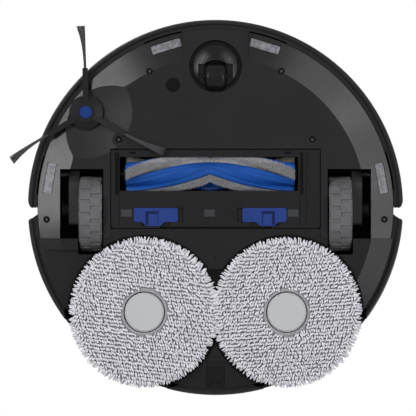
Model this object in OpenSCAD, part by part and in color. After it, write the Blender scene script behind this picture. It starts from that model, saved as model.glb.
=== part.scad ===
// Round robot vacuum with a roller brush, a side brush and two spinning mop pads.
// Millimetres, +Z up, front towards -Y, origin on the floor under the centre of the body.

/* [Body] */
// Diameter of the round body
body_d = 350; // [346:1:366]
// Height of the top face above the floor
body_h = 81.5; // [80:0.5:90]
// Height of the flat underside above the floor
ground_gap = 10.5; // [10:0.25:12]
// Wall thickness of the plastic shells
shell_t = 2.5; // [2:0.1:2.8]
// Gap between neighbouring fixed pieces
piece_gap = 0.3; // [0.2:0.05:0.5]
// Gap beside pieces that slide or turn
slide_gap = 0.5; // [0.4:0.1:0.8]
// Radial clearance of a shaft in its bearing
run_fit = 0.05; // [0.03:0.01:0.1]

/* [Underside] */
// Height of the bevel round the underside
bevel_rise = 6.5; // [5:0.5:7.5]
// Width of the bevel at the front
front_bevel_w = 25.5; // [20:0.5:27]
// Width of the bevel at the rear
rear_bevel_w = 19.5; // [15:0.5:20]
// Distance of the seam between the underpans behind the centre
seam_y = 29; // [27:0.5:31]
// Width of the flat tongue around the caster
tongue_w = 60; // [56:1:72]

/* [Bumper] */
// Width of the ring between the underpan and the outside
bumper_band = 9; // [8:0.5:10]
// Travel of the bumper when it is pushed
bumper_travel = 4; // [2:0.5:5]
// Width of the notch between the bumper and the rear shell
bumper_notch = 8; // [6:0.5:12]
// Height at which the side wall starts to curve inwards
edge_z = 60; // [54:1:64]

/* [Drive wheels] */
// Diameter of a drive wheel over its lugs
wheel_d = 70.4; // [68:0.2:71]
// Width of a drive wheel
wheel_w = 21.4; // [19:0.2:22]
// Distance of each drive wheel from the middle
wheel_x = 116.3; // [115.5:0.1:117]
// Distance of the wheel axles behind the centre
wheel_y = 6.3; // [4:0.1:8]
// Depth of the grooves between the lugs
lug_depth = 1.4; // [0.6:0.1:1.5]
// Number of lugs in each row
lugs = 18; // [14:1:22]
// Radius of the bore in a wheel hub
axle_r = 3; // [2.5:0.1:4]

/* [Caster] */
// Distance of the caster's swivel axis ahead of the centre
caster_y = 131.4; // [129:0.2:132]
// Radius of the caster's cup
cup_r = 24.5; // [24:0.1:25]
// Diameter of the caster wheel
caster_d = 25; // [24:0.5:27]
// Width of the caster wheel
caster_w = 19.5; // [17:0.5:20]
// Distance of the caster's axle behind its swivel axis
caster_trail = 9.4; // [8:0.1:9.8]

/* [Side brush] */
// Place of the side brush across the body
side_x = -120.6; // [-122:0.2:-119]
// Place of the side brush along the body
side_y = -88.6; // [-90:0.2:-87]
// Radius of the bristle tips
side_r = 81; // [76:1:82]
// Radius of the bristle holders
holder_r = 41; // [36:0.5:41]

/* [Roller brush] */
// Diameter over the bristles
roller_d = 34; // [32:0.5:34.5]
// Length of the roller
roller_len = 157; // [145:1:158]
// Distance of the roller's axis ahead of the centre
roller_y = 31.2; // [30.5:0.1:32]
// Distance of the roller's middle from the body's middle
work_x = -5; // [-6:0.5:-4]
// Twist of the strips over half the length, in degrees
fin_twist = 110; // [60:5:130]

/* [Brush guard] */
// Width of the guard
guard_w = 194; // [190:1:195]
// Distance of the guard's rear edge behind the centre
guard_rear = 19.1; // [18:0.1:19.5]
// How far the guard stands below the underside
guard_proud = 1.5; // [0.5:0.25:2]
// Travel of each latch
latch_travel = 5; // [3:0.5:6]
// Length of each latch
latch_len = 41; // [36:1:44]

/* [Mop pads] */
// Distance of each pad's axis from the middle
pad_x = 66.1; // [65.9:0.1:67]
// Distance of the pads' axes behind the centre
pad_y = 97.3; // [97:0.1:98]
// Radius of a pad's cloth
pad_r = 65.5; // [60:0.5:65.6]
// Thickness of a pad
pad_t = 10; // [8:0.5:11]
// Radius of the recess above a pad
recess_r = 72; // [71.5:0.25:73]
// Height by which the pads lift
pad_lift = 9; // [5:0.5:10]

/* [Top] */
// Radius of the lift-off cover
cover_r = 149.5; // [147:0.5:150]
// Thickness of the lift-off cover
cover_t = 3.2; // [2.5:0.1:4]
// Distance of the laser turret behind the centre
turret_y = 66; // [65:0.5:70]
// Radius of the laser turret
turret_r = 44; // [42:0.5:44.5]
// Height of the turret above the top face
turret_h = 16.5; // [14:0.5:20]
// Radius of the buttons
button_r = 5.5; // [5:0.1:6]
// Travel of the buttons
button_travel = 1; // [0.5:0.1:1.2]
// Width of the dust bin
bin_w = 112; // [100:1:113]
// Length of the dust bin
bin_l = 76; // [70:1:77]

/* [Hidden] */
$fn = 96;
tall = 200;

// Heights and radii of the shells
body_r = body_d / 2;
pan_r = body_r - bumper_band;
pan_z = ground_gap;
pan_top = pan_z + shell_t;
lip_z = pan_z + bevel_rise;
lip_top = lip_z + shell_t;
front_r1 = pan_r - 0.5;
rear_r1 = pan_r + 1.5;
rear_rim = pan_r + 2.3;
ledge_overlap = 1;
skirt_r1 = pan_r - ledge_overlap - bumper_travel - 2 * slide_gap;
skirt_r0 = skirt_r1 - shell_t;
deck_top = body_h - cover_t - piece_gap;
deck_z = deck_top - shell_t;
ring_r0 = cover_r + slide_gap + piece_gap;
lip_out = 1.3;
lip_w = 3.7;
wall_rise = 2;
end_turn = 1.2;
edge_turns = 8;
side_top = deck_z - slide_gap;

// Mop mechanism, from the floor upwards
plate_z = pad_t + 0.2;
plate_top = plate_z + 2.8;
mop_ceiling = plate_top + pad_lift + 1.5;
mop_ceiling_top = mop_ceiling + shell_t;
skirt_split = max(mop_ceiling_top, lip_top) + 4;
mop_plate_r = pad_r - 4;
mop_cap_r = 18.2;
mop_shaft_r = 6;
boss_r = 10;
carriage_z = mop_ceiling_top + 2;
carriage_t = 3;
boss_top = carriage_z + 8;
gearbox_top = carriage_z + 12;
post_r = 3;
post_x = 30;
post_y = pad_y + 21;
screw_r = 2;
screw_y = turret_y + 8;
motor_r = 9;
tank_z = gearbox_top + pad_lift + 2;
tank_y0 = screw_y + motor_r + 1;
tank_top = deck_z - piece_gap;

// Brush guard and roller
open_gap = slide_gap + piece_gap;
guard_t = 3.5;
guard_z = pan_z - guard_proud;
guard_top = guard_z + guard_t;
bar_t = 2;
bar_top = guard_z + bar_t;
roller_r = roller_d / 2;
floor_gap = 1.6;
tip_gap = 0.3;
roller_z = roller_r + floor_gap;
window_half = sqrt(pow(roller_r, 2) - pow(max(0, roller_z - bar_top), 2)) + 0.6;
chamber_r = roller_r + 2.5;
chamber_out = chamber_r + shell_t;
guard_front = roller_y + chamber_out + guard_t / 2 - 1;
hinge_r = guard_t / 2;
hinge_y = hinge_r - guard_front;
hinge_z = guard_z + hinge_r;
hinge_pin_r = 0.9;
lug_w = 5;
lug_dx = 72;
open_x = guard_w / 2 + open_gap;
open_y0 = -guard_front - open_gap;
open_y1 = guard_rear + open_gap;
window_x0 = work_x - roller_len / 2 - 5.5;
window_x1 = work_x + roller_len / 2 + 3.5;
chamber_x0 = window_x0 - 2.5;
chamber_x1 = window_x1 - 0.5;
flange_w = 2.6;
shaft_r = 3;
bush_r = 5.2;
latch_out = 71;
latch_in = latch_out - latch_len;
latch_y0 = 0.5;
latch_h = 13;
tab_in = 42.5;
tab_out = 63.5;
tab_y1 = 17.2;
pocket_top = guard_z + 2.7;
keeper_z = guard_top + piece_gap;
keeper_top = keeper_z + 1.5;
floor_plate_z = keeper_top + 1.5;
duct_dx = 20;
duct_dy = 7;
duct_t = 2;
duct_top = bin_z() - piece_gap;

// Drive wheels
wheel_r = wheel_d / 2;
well_t = 1.8;
well_x0 = wheel_x - wheel_w / 2 - 1.3;
well_xm = wheel_x + wheel_w / 2 + 1;
well_x1 = well_xm + 16.8;
well_y0 = wheel_y - wheel_r - 6.9;
well_y1 = wheel_y + wheel_r + 2.3;
well_top = wheel_d + 1.5;
pivot_y = well_y0 + 4.8;
pivot_z = wheel_r + 0.8;
pivot_r = 2.5;
pivot_boss_r = 4.3;
arm_x0 = well_xm - 0.5;
arm_x1 = arm_x0 + 9.6;
arm_foot_z = wheel_r - 7.7;
hub_r = wheel_r - 6.2;

// Caster
caster_r = caster_d / 2;
cup_top = caster_d + 6;
fork_r = cup_r - 4;
stem_r = 4;
fork_slot = caster_w + 1.6;
fork_dome_r = 52;
fork_low = caster_r - 6.5;
fork_arch_r = 20;
fork_pocket = 5.6;
fork_pocket_front = 11.6;
fork_pocket_rear = 7.1;
caster_axle_r = 1.5;

// Side brush
side_recess_r = holder_r + 2;
side_ceiling = lip_z;
side_shaft_r = 4;
side_turn = 29.1;
side_hub_r = 15.6;
side_hub_z = 9;
side_motor_dx = 17;
side_motor_dy = 12;

// Places of small parts
screw_sites = [[61.4, -126.8], [90, -63.1], [157.4, 11.2]];
head_r = 2.3;
head_hole_r = 3.2;
head_deep = 2;
head_t = 1.3;
cliff_angles = [17, 80];
cliff_r = pan_r - 9;
cliff_w = 8;
cliff_len = 28.5;
sensor_x = -39.6;
sensor_y = -114;
sensor_r = 6.5;
button_x = 11;
button_y = -(ring_r0 + pan_r) / 2 + 1.7;
board_z = 60;
board_t = 1.6;
board_x = 48;
board_y0 = -122;
board_y1 = -66;
bin_x0 = -80;
bin_y0 = -58;
bin_t = 2;
window_turn = 42;
switch_turn = 45;
spring_x = 30;
spring_z = 50;
lift_gap = 1;
battery_x0 = -52;
battery_x1 = 45;
battery_y0 = -103;
battery_l = 21;
battery_top = 52;
fan_dx = 34;
fan_z0 = 45;
fan_y = -8;

// Flat recessed panel at the rear left
panel_x = -118;
panel_y = seam_y + 10.5;
panel_z = pan_z + 5.5;

// Shared functions and shapes

function bin_z() = 43;

// Points of an arc from angle a0 to a1 in n steps, with one radius for each axis
function arc(cx, cy, rx, ry, a0, a1, n) =
  [for (i = [0:n]) let (a = a0 + (a1 - a0) * i / n) [cx + rx * cos(a), cy + ry * sin(a)]];

// Height of the underside at a radius, for a bevel of width w that ends at radius r1
function bevel_height(r, w, r1) =
  pan_z + bevel_rise * max(0, min(1, (r - (r1 - w)) / w));

module box(x0, x1, y0, y1, z0, z1) {
  translate([x0, y0, z0])
    cube([x1 - x0, y1 - y0, z1 - z0]);
}

// Box with rounded upright edges
module round_box(x0, x1, y0, y1, z0, z1, r) {
  translate([0, 0, z0])
    linear_extrude(z1 - z0)
      polygon(concat(
        arc(x1 - r, y1 - r, r, r, 0, 90, 6),
        arc(x0 + r, y1 - r, r, r, 90, 180, 6),
        arc(x0 + r, y0 + r, r, r, 180, 270, 6),
        arc(x1 - r, y0 + r, r, r, 270, 360, 6)));
}

module disc(x, y, r, z0, z1) {
  translate([x, y, z0])
    cylinder(r = r, h = z1 - z0);
}

module tube(x, y, r0, r1, z0, z1) {
  difference() {
    disc(x, y, r1, z0, z1);
    disc(x, y, r0, z0 - 1, z1 + 1);
  }
}

// Cylinder along X
module x_rod(r, x0, x1, y, z) {
  translate([x0, y, z])
    rotate([0, 90, 0])
      cylinder(r = r, h = x1 - x0);
}

// Extrudes a profile drawn in Y and Z along X
module along_x(x0, x1) {
  translate([x0, 0, 0])
    rotate([90, 0, 90])
      linear_extrude(x1 - x0)
        children();
}

module both_sides() {
  children();
  mirror([1, 0, 0])
    children();
}

module left_side() {
  mirror([1, 0, 0])
    children();
}

// Round wire wound into a coil about Z
module coil(r, wire_r, pitch, turns) {
  steps = 14 * turns;
  sides = 6;
  points = [
    for (i = [0:steps]) let (a = 360 * turns * i / steps)
      for (k = [0:sides - 1]) let (b = 360 * k / sides)
        [(r + wire_r * cos(b)) * cos(a), (r + wire_r * cos(b)) * sin(a),
         pitch * turns * i / steps + wire_r * sin(b)]];
  faces = concat(
    [[for (k = [sides - 1:-1:0]) k]],
    [for (i = [0:steps - 1]) for (k = [0:sides - 1])
      let (p = i * sides, q = (k + 1) % sides) [p + q, p + sides + q, p + sides + k, p + k]],
    [[for (k = [0:sides - 1]) steps * sides + k]]);
  polyhedron(points = points, faces = faces);
}

// Skin of the underside between two depths, measured upwards from its lower face
module under_layer(w, r1, rim, d0, d1) {
  r0 = r1 - w;
  rotate_extrude()
    polygon([
      [0, pan_z + d0], [r0, pan_z + d0], [r1, lip_z + d0], [rim, lip_z + d0],
      [rim, lip_z + d1], [r1, lip_z + d1], [r0, pan_z + d1], [0, pan_z + d1]]);
}

module front_layer(d0, d1) {
  under_layer(front_bevel_w, front_r1, pan_r, d0, d1);
}

module rear_layer(d0, d1) {
  under_layer(rear_bevel_w, rear_r1, rear_rim, d0, d1);
}

// Upright wall on the skin of the underside, which carries the deck
module skirt(w, r1) {
  rotate_extrude()
    polygon([
      [skirt_r0, bevel_height(skirt_r0, w, r1) + shell_t / 2],
      [skirt_r1, bevel_height(skirt_r1, w, r1) + shell_t / 2],
      [skirt_r1, skirt_split], [skirt_r0, skirt_split]]);
}

// The opening of the right wheel well
module well_space(grow, z0, z1) {
  box(well_x0 - grow, well_xm + grow, well_y0 - grow, well_y1 + grow, z0, z1);
  box(well_xm - 1, well_x1 + grow, well_y0 - grow, seam_y + grow, z0, z1);
}

// Both round recesses above the mop pads
module mop_recess(r, z0, z1) {
  both_sides()
    disc(pad_x, pad_y, r, z0, z1);
}

module at_cliffs() {
  both_sides()
    for (a = cliff_angles)
      rotate(a - 90)
        translate([cliff_r, 0, 0])
          children();
}

module cliff_prism(grow) {
  w = cliff_w / 2 + grow;
  l = cliff_len / 2 + grow;
  round_box(-w, w, -l, l, 0, tall, 1);
}

// Underside casings

function screw_z(x, y) = bevel_height(norm([x, y]), front_bevel_w, front_r1);

module screw_boss(x, y) {
  disc(x, y, 5, screw_z(x, y) + shell_t / 2, screw_z(x, y) + shell_t + 4);
}

module screw_hole(x, y) {
  disc(x, y, head_hole_r, 0, screw_z(x, y) + head_deep + head_t + 0.1);
  disc(x, y, 1.45, 0, screw_z(x, y) + shell_t + 5);
}

// Solid below a shallow dome about the side brush, down to the floor
module side_dish(grow) {
  depth = side_ceiling - pan_z;
  r = (pow(side_recess_r, 2) + pow(depth, 2)) / (2 * depth);
  low = asin((r - depth) / (r + grow));
  translate([side_x, side_y, 0])
    rotate_extrude()
      polygon(concat(
        [[0, 0], [(r + grow) * cos(low), 0]],
        arc(0, side_ceiling - r, r + grow, r + grow, low, 90, 16)));
}

module front_underpan() {
  color([0.18, 0.18, 0.19])
    difference() {
      union() {
        intersection() {
          union() {
            front_layer(0, shell_t);
            skirt(front_bevel_w, front_r1);
          }
          box(-body_r, body_r, -body_r, seam_y - piece_gap / 2, 0, tall);
        }
        intersection() {
          rotate_extrude()
            polygon([
              [front_r1 - front_bevel_w - 1, pan_z], [front_r1, pan_z],
              [front_r1, lip_top], [front_r1 - front_bevel_w - 1, pan_top]]);
          box(-tongue_w / 2, tongue_w / 2, -body_r, -caster_y, 0, tall);
        }
        disc(0, -caster_y, cup_r + shell_t, pan_z, cup_top + shell_t);
        disc(0, -caster_y, stem_r + 3, cup_top, cup_top + 8);
        intersection() {
          side_dish(shell_t);
          disc(0, 0, skirt_r1, 0, tall);
          front_layer(0, tall);
        }
        both_sides()
          for (s = screw_sites)
            screw_boss(s[0], s[1]);
      }
      disc(0, -caster_y, cup_r, 0, cup_top);
      disc(0, -caster_y, stem_r + run_fit, 0, tall);
      difference() {
        side_dish(0);
        disc(-screw_sites[1][0], screw_sites[1][1], 6, pan_z, tall);
      }
      disc(side_x, side_y, side_shaft_r + 1, 0, tall);
      box(-open_x, open_x, open_y0, seam_y + 1, 0, skirt_split);
      both_sides()
        well_space(0, 0, tall);
      mop_recess(recess_r + shell_t + piece_gap, 0, tall);
      both_sides()
        for (s = screw_sites)
          screw_hole(s[0], s[1]);
      disc(sensor_x, sensor_y, sensor_r + 0.1, 0, tall);
      intersection() {
        at_cliffs()
          cliff_prism(0.35);
        front_layer(-1, 1.8);
      }
      box(-52, 52, -103, open_y0 - 1.5, 0, pan_z + 0.2);
    }
}

// Room of the flat panel between two heights, with its front wall where it is asked for
module rear_panel(z0, z1, wall) {
  housing_x = well_xm + well_t;
  box(-body_r, -housing_x, panel_y - wall, pad_y, z0, z1);
  box(-housing_x - 1, panel_x, well_y1 + well_t, pad_y, z0, z1);
}

module rear_underpan() {
  color([0.17, 0.17, 0.18])
    difference() {
      union() {
        intersection() {
          union() {
            rear_layer(0, shell_t);
            skirt(rear_bevel_w, rear_r1);
          }
          union() {
            box(-body_r, body_r, seam_y + piece_gap / 2, body_r, 0, tall);
            box(-open_x + piece_gap, open_x - piece_gap, open_y1, body_r, 0, tall);
          }
        }
        intersection() {
          union() {
            mop_recess(recess_r + shell_t, pan_z, mop_ceiling_top);
            rear_panel(pan_z, panel_z + shell_t, shell_t);
          }
          rear_layer(0, tall);
          disc(0, 0, skirt_r1, 0, tall);
          box(-body_r, body_r, open_y1, body_r, 0, tall);
        }
        intersection() {
          mop_recess(recess_r + shell_t, lip_z, mop_ceiling_top);
          tube(0, 0, skirt_r0, rear_rim, 0, tall);
          box(-body_r, body_r, pad_y - recess_r, body_r, 0, tall);
        }
        round_box(-10, 10, pad_y - 43, pad_y - 30, pan_z, mop_ceiling_top, 2);
        both_sides()
          disc(post_x, post_y, post_r, mop_ceiling, tank_z - 1);
      }
      mop_recess(recess_r, 0, mop_ceiling);
      both_sides()
        disc(pad_x, pad_y, mop_shaft_r + 1, 0, tall);
      both_sides()
        well_space(0, 0, tall);
      round_box(-7.5, 7.5, pad_y - 40.3, pad_y - 25, 0, mop_ceiling, 3);
      disc(0, 47, 1, 0, pan_z + 1.5);
      box(-15, 15, port_y0 - 4.2, port_y0 - 3.2, 0, pan_z + 1.2);
      box(-port_w / 2 - 0.2, port_w / 2 + 0.2, port_y0 - 0.2, body_r, 0, lip_top + 1);
      box(-body_r, panel_x, panel_y, pad_y, 0, panel_z);
    }
}

port_w = 16.4;
port_y0 = 143;
port_slot_y = rear_rim - 6;

module dock_port() {
  color([0.12, 0.12, 0.13])
    difference() {
      intersection() {
        rear_layer(0.6, shell_t);
        box(-port_w / 2, port_w / 2, port_y0, body_r, 0, tall);
      }
      box(-4.5, 4.5, port_slot_y, port_slot_y + 5, 0, lip_z + 1.5);
    }
}

// Outer face of the side wall, from its foot to its top
function side_face(inset) = concat(
  [[body_r - lip_out - inset, lip_z - 1 + inset]],
  [[body_r - inset, lip_z - 1 + wall_rise + inset]],
  arc(pan_r, edge_z, bumper_band - inset, (side_top - edge_z) / 0.7 - inset, 0, 44, edge_turns));

module side_wall_profile(inner_foot, inner_top) {
  top_r = pan_r + (bumper_band) * cos(44);
  polygon(concat(
    [[body_r - lip_w, lip_z - 1]],
    side_face(0),
    [[top_r, side_top], [inner_top, side_top], [inner_top, side_top - 2]],
    [[top_r - shell_t, side_top - 2], [body_r - shell_t, edge_z],
     [body_r - shell_t, lip_top + slide_gap + 2],
     [inner_foot, lip_top + slide_gap + 2], [inner_foot, lip_top + slide_gap],
     [body_r - lip_w, lip_top + slide_gap]]));
}

// Solid end of the side wall inside its skin, from angle a0 over a short turn
module wall_end(a0) {
  inset = 0.4;
  z0 = lip_top + slide_gap + inset;
  rotate([0, 0, a0])
    rotate_extrude(angle = end_turn)
      polygon(concat(
        [[pan_r + 1, z0], [body_r - lip_w + inset, z0],
         [body_r - lip_w + inset, lip_z - 1 + inset]],
        side_face(inset),
        [[pan_r + 1, side_top - inset]]));
}

// Space beside the right end of the bumper, with the bumper's rounded corner
module bumper_end_space() {
  linear_extrude(tall)
    polygon(concat(
      [[pan_r - 12, 6], [pan_r - 12, -3.4], [pan_r - 0.5, -1.1], [body_r - 4.2, 0.4]],
      arc(body_r - 4.2, -10, 4.3, 10.4, 90, 0, 8),
      [[body_r + 4, -10], [body_r + 4, 6]]));
}

// Space beside the right end of the rear shell, with the shell's rounded corner
module shell_end_space() {
  y = bumper_notch - 2;
  linear_extrude(tall)
    polygon(concat(
      [[pan_r - 14, -9], [pan_r - 14, y - 3], [pan_r - 0.5, y], [body_r - 3.5, y + 4.2]],
      arc(body_r - 3.5, y + 10, 3.6, 5.8, -90, 0, 6),
      [[body_r + 4, y + 10], [body_r + 4, -9]]));
}

module bumper() {
  ledge_r = pan_r - ledge_overlap;
  color([0.22, 0.22, 0.24])
    difference() {
      union() {
        rotate_extrude()
          side_wall_profile(ledge_r, pan_r - 1.5);
        wall_end(-end_turn);
        wall_end(180);
      }
      box(-body_r - 1, body_r + 1, 1, body_r + 1, 0, tall);
      both_sides()
        bumper_end_space();
      rotate([0, 0, 270 - window_turn])
        rotate_extrude(angle = 2 * window_turn)
          translate([body_r - 1.3, window_z0])
            square([3, window_z1 - window_z0]);
      for (a = bumper_slots)
        rotate([0, 0, a])
          rotate_extrude(angle = bumper_slot_turn)
            translate([ledge_r - 1, lip_top])
              square([3.6, 5]);
    }
}

window_z0 = 34;
window_z1 = 54;
bumper_slots = [184.1, 246.5, 280.9, 341.8];
bumper_slot_turn = 12.5;

module bumper_window() {
  color([0.05, 0.05, 0.06])
    rotate([0, 0, 270 - window_turn + 0.1])
      rotate_extrude(angle = 2 * window_turn - 0.2)
        translate([body_r - 1.25, window_z0 + 0.1])
          square([1.2, window_z1 - window_z0 - 0.2]);
}

module rear_shell() {
  color([0.2, 0.2, 0.21])
    difference() {
      union() {
        rotate_extrude()
          side_wall_profile(skirt_r1 + 0.1, skirt_r1 + 0.1);
        wall_end(shell_turn);
        wall_end(180 - shell_turn - end_turn);
      }
      box(-body_r - 1, body_r + 1, -body_r - 1, 1, 0, tall);
      both_sides()
        shell_end_space();
      mop_recess(recess_r + shell_t + piece_gap, 0, mop_ceiling_top + piece_gap);
      both_sides()
        disc(screw_sites[2][0], screw_sites[2][1], 5.5, 0, lip_top + 4);
      box(-port_w / 2 - 2, port_w / 2 + 2, port_y0, body_r - 4, 0, lip_top);
      for (i = [0:7])
        rotate([0, 0, 22 + 2.6 * i])
          box(body_r - 8, body_r + 1, -1.2, 1.2, 36, 56);
      both_sides()
        rotate([0, 0, 90 - contact_turn])
          box(body_r - 1.2, body_r + 1, -4.2, 4.2, 29.8, 44.2);
    }
}

contact_turn = 9;
shell_turn = asin((bumper_notch + 0.5) / pan_r);

module charging_contacts() {
  color([0.8, 0.76, 0.66])
    intersection() {
      tube(0, 0, body_r - 1, body_r - 0.2, 30, 44);
      both_sides()
        rotate([0, 0, 90 - contact_turn])
          box(body_r - 5, body_r + 1, -4, 4, 29, 45);
    }
}

module upper_deck() {
  color([0.15, 0.15, 0.16])
    difference() {
      union() {
        rotate_extrude()
          polygon([
            [0, deck_z], [skirt_r0, deck_z], [skirt_r0, skirt_split], [skirt_r1, skirt_split],
            [skirt_r1, deck_z], [pan_r, deck_z], [pan_r, body_h - 3], [pan_r - 0.8, body_h - 1],
            [pan_r - 3, body_h], [ring_r0 + 0.5, body_h], [ring_r0, body_h - 0.5],
            [ring_r0, deck_top], [0, deck_top]]);
        both_sides()
          for (y = [board_y0 + 5, board_y1 - 5])
            disc(board_x - 5, y, 3, board_z + board_t, deck_z + 1);
      }
      box(bin_x0 - lift_gap, bin_x0 + bin_w + lift_gap, bin_y0 - lift_gap,
          bin_y0 + bin_l + lift_gap, 0, tall);
      disc(0, -caster_y, cup_r + shell_t + piece_gap, 0, cup_top + shell_t + piece_gap);
      both_sides() {
        disc(button_x, button_y, button_r + 0.3, 0, tall);
        disc(button_x, button_y, button_r + 1.6, 0, deck_top + 0.2);
      }
      box(-26, 26, button_y - 8, button_y + 12, deck_z - 6, deck_z);
      disc(24, turret_y - 6, motor_r + piece_gap, 0, tall);
      disc(0, -ring_r0 - 2, 9, 0, 1);
      disc(0, ring_r0 + 1, 10, deck_top, tall);
    }
}

// Wheel modules

module one_wheel_housing() {
  difference() {
    well_space(well_t, pan_z, well_top + well_t);
    well_space(0, 0, well_top);
    front_layer(-tall, shell_t);
    mop_recess(recess_r + shell_t + piece_gap / 2, 0, mop_ceiling_top);
    x_rod(pivot_r + run_fit, well_x0, well_x1 + 5, pivot_y, pivot_z);
  }
}

module wheel_housings() {
  color([0.1, 0.1, 0.11])
    difference() {
      both_sides()
        one_wheel_housing();
      box(-body_r, panel_x, panel_y, pad_y, 0, panel_z);
      box(-body_r, -well_xm - 1, panel_y - shell_t, panel_y, 0, panel_z + shell_t);
    }
}

module wheel_pivot_pins() {
  color("silver")
    both_sides()
      x_rod(pivot_r, arm_x0, well_x1 + well_t, pivot_y, pivot_z);
}

module wheel_arm() {
  color([0.19, 0.19, 0.2])
    difference() {
      union() {
        along_x(arm_x0, arm_x1)
          hull() {
            translate([pivot_y, pivot_z])
              circle(r = pivot_boss_r, $fn = 32);
            translate([pivot_y + 9, arm_foot_z])
              circle(r = 3, $fn = 32);
            translate([wheel_y + 7.1, arm_foot_z])
              circle(r = 3, $fn = 32);
            translate([wheel_y + 2.1, wheel_r + 8.8])
              circle(r = 8, $fn = 32);
          }
        x_rod(8, arm_x1 - 1, well_x1 - 1.2, wheel_y - 4, wheel_r + 4);
        x_rod(axle_r, wheel_x - wheel_w / 2 + 2, arm_x0 + 1, wheel_y, wheel_r);
      }
      x_rod(pivot_r + run_fit, arm_x0 - 1, arm_x1 + 1, pivot_y, pivot_z);
    }
}

module wheel_spring() {
  color("silver")
    translate([arm_x1 + 1.5, pivot_y, pivot_z])
      rotate([0, 90, 0])
        coil(3.6, 0.5, 1.25, 3.5);
}

module wheel_hub() {
  x0 = wheel_x - wheel_w / 2;
  x1 = wheel_x + wheel_w / 2;
  color([0.3, 0.3, 0.32])
    translate([0, wheel_y, wheel_r])
      rotate([0, 90, 0])
        difference() {
          rotate_extrude()
            polygon([
              [0, x0 + 1], [hub_r - 5, x0 + 1], [hub_r - 3, x0 + 0.4], [hub_r, x0 + 0.4],
              [hub_r, x1 - 0.4], [hub_r - 3, x1 - 0.4], [hub_r - 3, x0 + 5], [8, x0 + 5],
              [8, arm_x0 - 0.3], [0, arm_x0 - 0.3]]);
          translate([0, 0, x0 - 1])
            cylinder(r = axle_r + run_fit, h = wheel_w + 10);
        }
}

// Tyre with two staggered rows of lugs
module tyre() {
  groove = 3.7;
  color([0.4, 0.4, 0.41])
    translate([wheel_x, wheel_y, wheel_r])
      rotate([0, 90, 0])
        difference() {
          rotate_extrude()
            polygon([
              [hub_r + 0.1, -wheel_w / 2], [wheel_r - 1.5, -wheel_w / 2],
              [wheel_r, -wheel_w / 2 + 1.5], [wheel_r, wheel_w / 2 - 1.5],
              [wheel_r - 1.5, wheel_w / 2], [hub_r + 0.1, wheel_w / 2]]);
          for (row = [0, 1])
            for (i = [0:lugs - 1])
              rotate([0, 0, (i + 0.5 * row + 0.5) * 360 / lugs])
                translate([wheel_r - lug_depth, -groove / 2, row ? 0 : -wheel_w / 2 - 1])
                  cube([5, groove, wheel_w / 2 + 1]);
        }
}

// Caster

// Turn of the domed underside from its middle to its edge
fork_edge = asin((fork_r - 0.3) / fork_dome_r);

module caster_fork() {
  color([0.2, 0.2, 0.21])
    translate([0, -caster_y, 0])
      difference() {
        union() {
          rotate_extrude()
            polygon(concat(
              arc(0, fork_low + fork_dome_r, fork_dome_r, fork_dome_r, -90, fork_edge - 90, 8),
              arc(stem_r + 3, caster_r, fork_r - stem_r - 3, cup_top - caster_r - 0.4, 0, 90, 10),
              [[0, cup_top - 0.4]]));
          disc(0, 0, stem_r, cup_top - 1, cup_top + 10.5);
        }
        intersection() {
          box(-fork_slot / 2, fork_slot / 2, -fork_r, fork_r + 5, 0, caster_d + 1);
          disc(0, caster_trail - caster_r - 2.4 + fork_arch_r, fork_arch_r, 0, tall);
        }
        box(-fork_slot / 2 - fork_pocket, fork_slot / 2 + fork_pocket,
            caster_trail - fork_pocket_front, caster_trail + fork_pocket_rear, 0,
            caster_r - 0.4);
        tube(0, 0, stem_r - 1, stem_r + 2, cup_top + 8.5, cup_top + 9.5);
        x_rod(caster_axle_r + 0.02, -fork_r - 1, fork_r + 1, caster_trail, caster_r);
      }
}

module caster_axle() {
  half = sqrt(pow(fork_r, 2) - pow(caster_trail + caster_axle_r, 2)) - 0.5;
  color("silver")
    x_rod(caster_axle_r, -half, half, caster_trail - caster_y, caster_r);
}

module caster_wheel() {
  w = caster_w / 2;
  color([0.14, 0.14, 0.15])
    translate([0, caster_trail - caster_y, caster_r])
      rotate([0, 90, 0])
        difference() {
          rotate_extrude()
            polygon(concat(
              [[0, -w], [caster_r - 4, -w]],
              arc(caster_r - 4, -w + 4.4, 4, 4.4, -90, 0, 6),
              arc(caster_r - 4, w - 4.4, 4, 4.4, 0, 90, 6),
              [[0, w]]));
          translate([0, 0, -w - 1])
            cylinder(r = caster_axle_r + run_fit, h = caster_w + 2);
        }
}

// Side brush

module side_spokes() {
  translate([side_x, side_y, 0])
    for (i = [0:2])
      rotate([0, 0, side_turn + 120 * i])
        children();
}

module side_brush_hub() {
  top = side_ceiling - 1;
  color([0.34, 0.34, 0.35])
    difference() {
      union() {
        translate([side_x, side_y, 0])
          rotate_extrude()
            polygon([
              [0, side_hub_z], [9, side_hub_z], [side_hub_r, side_hub_z + 3],
              [side_hub_r, side_hub_z + 5], [10, top], [0, top]]);
        disc(side_x, side_y, side_shaft_r, top - 1, side_ceiling + shell_t + 12);
        side_spokes()
          translate([0, 2.5, 0])
            rotate([90, 0, 0])
              linear_extrude(5)
                polygon([
                  [6, side_hub_z + 0.5], [holder_r, 6.4], [holder_r, 8.3],
                  [side_hub_r, side_hub_z + 3.5], [6, side_hub_z + 4]]);
      }
      disc(side_x, side_y, 5.9, 0, side_hub_z + 1.5);
    }
}

module side_brush_cap() {
  color([0.2, 0.28, 0.55])
    translate([side_x, side_y, 0])
      rotate_extrude()
        polygon([
          [0, side_hub_z - 1], [5, side_hub_z - 1], [5.8, side_hub_z - 0.4],
          [5.8, side_hub_z + 1.4], [0, side_hub_z + 1.4]]);
}

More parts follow.
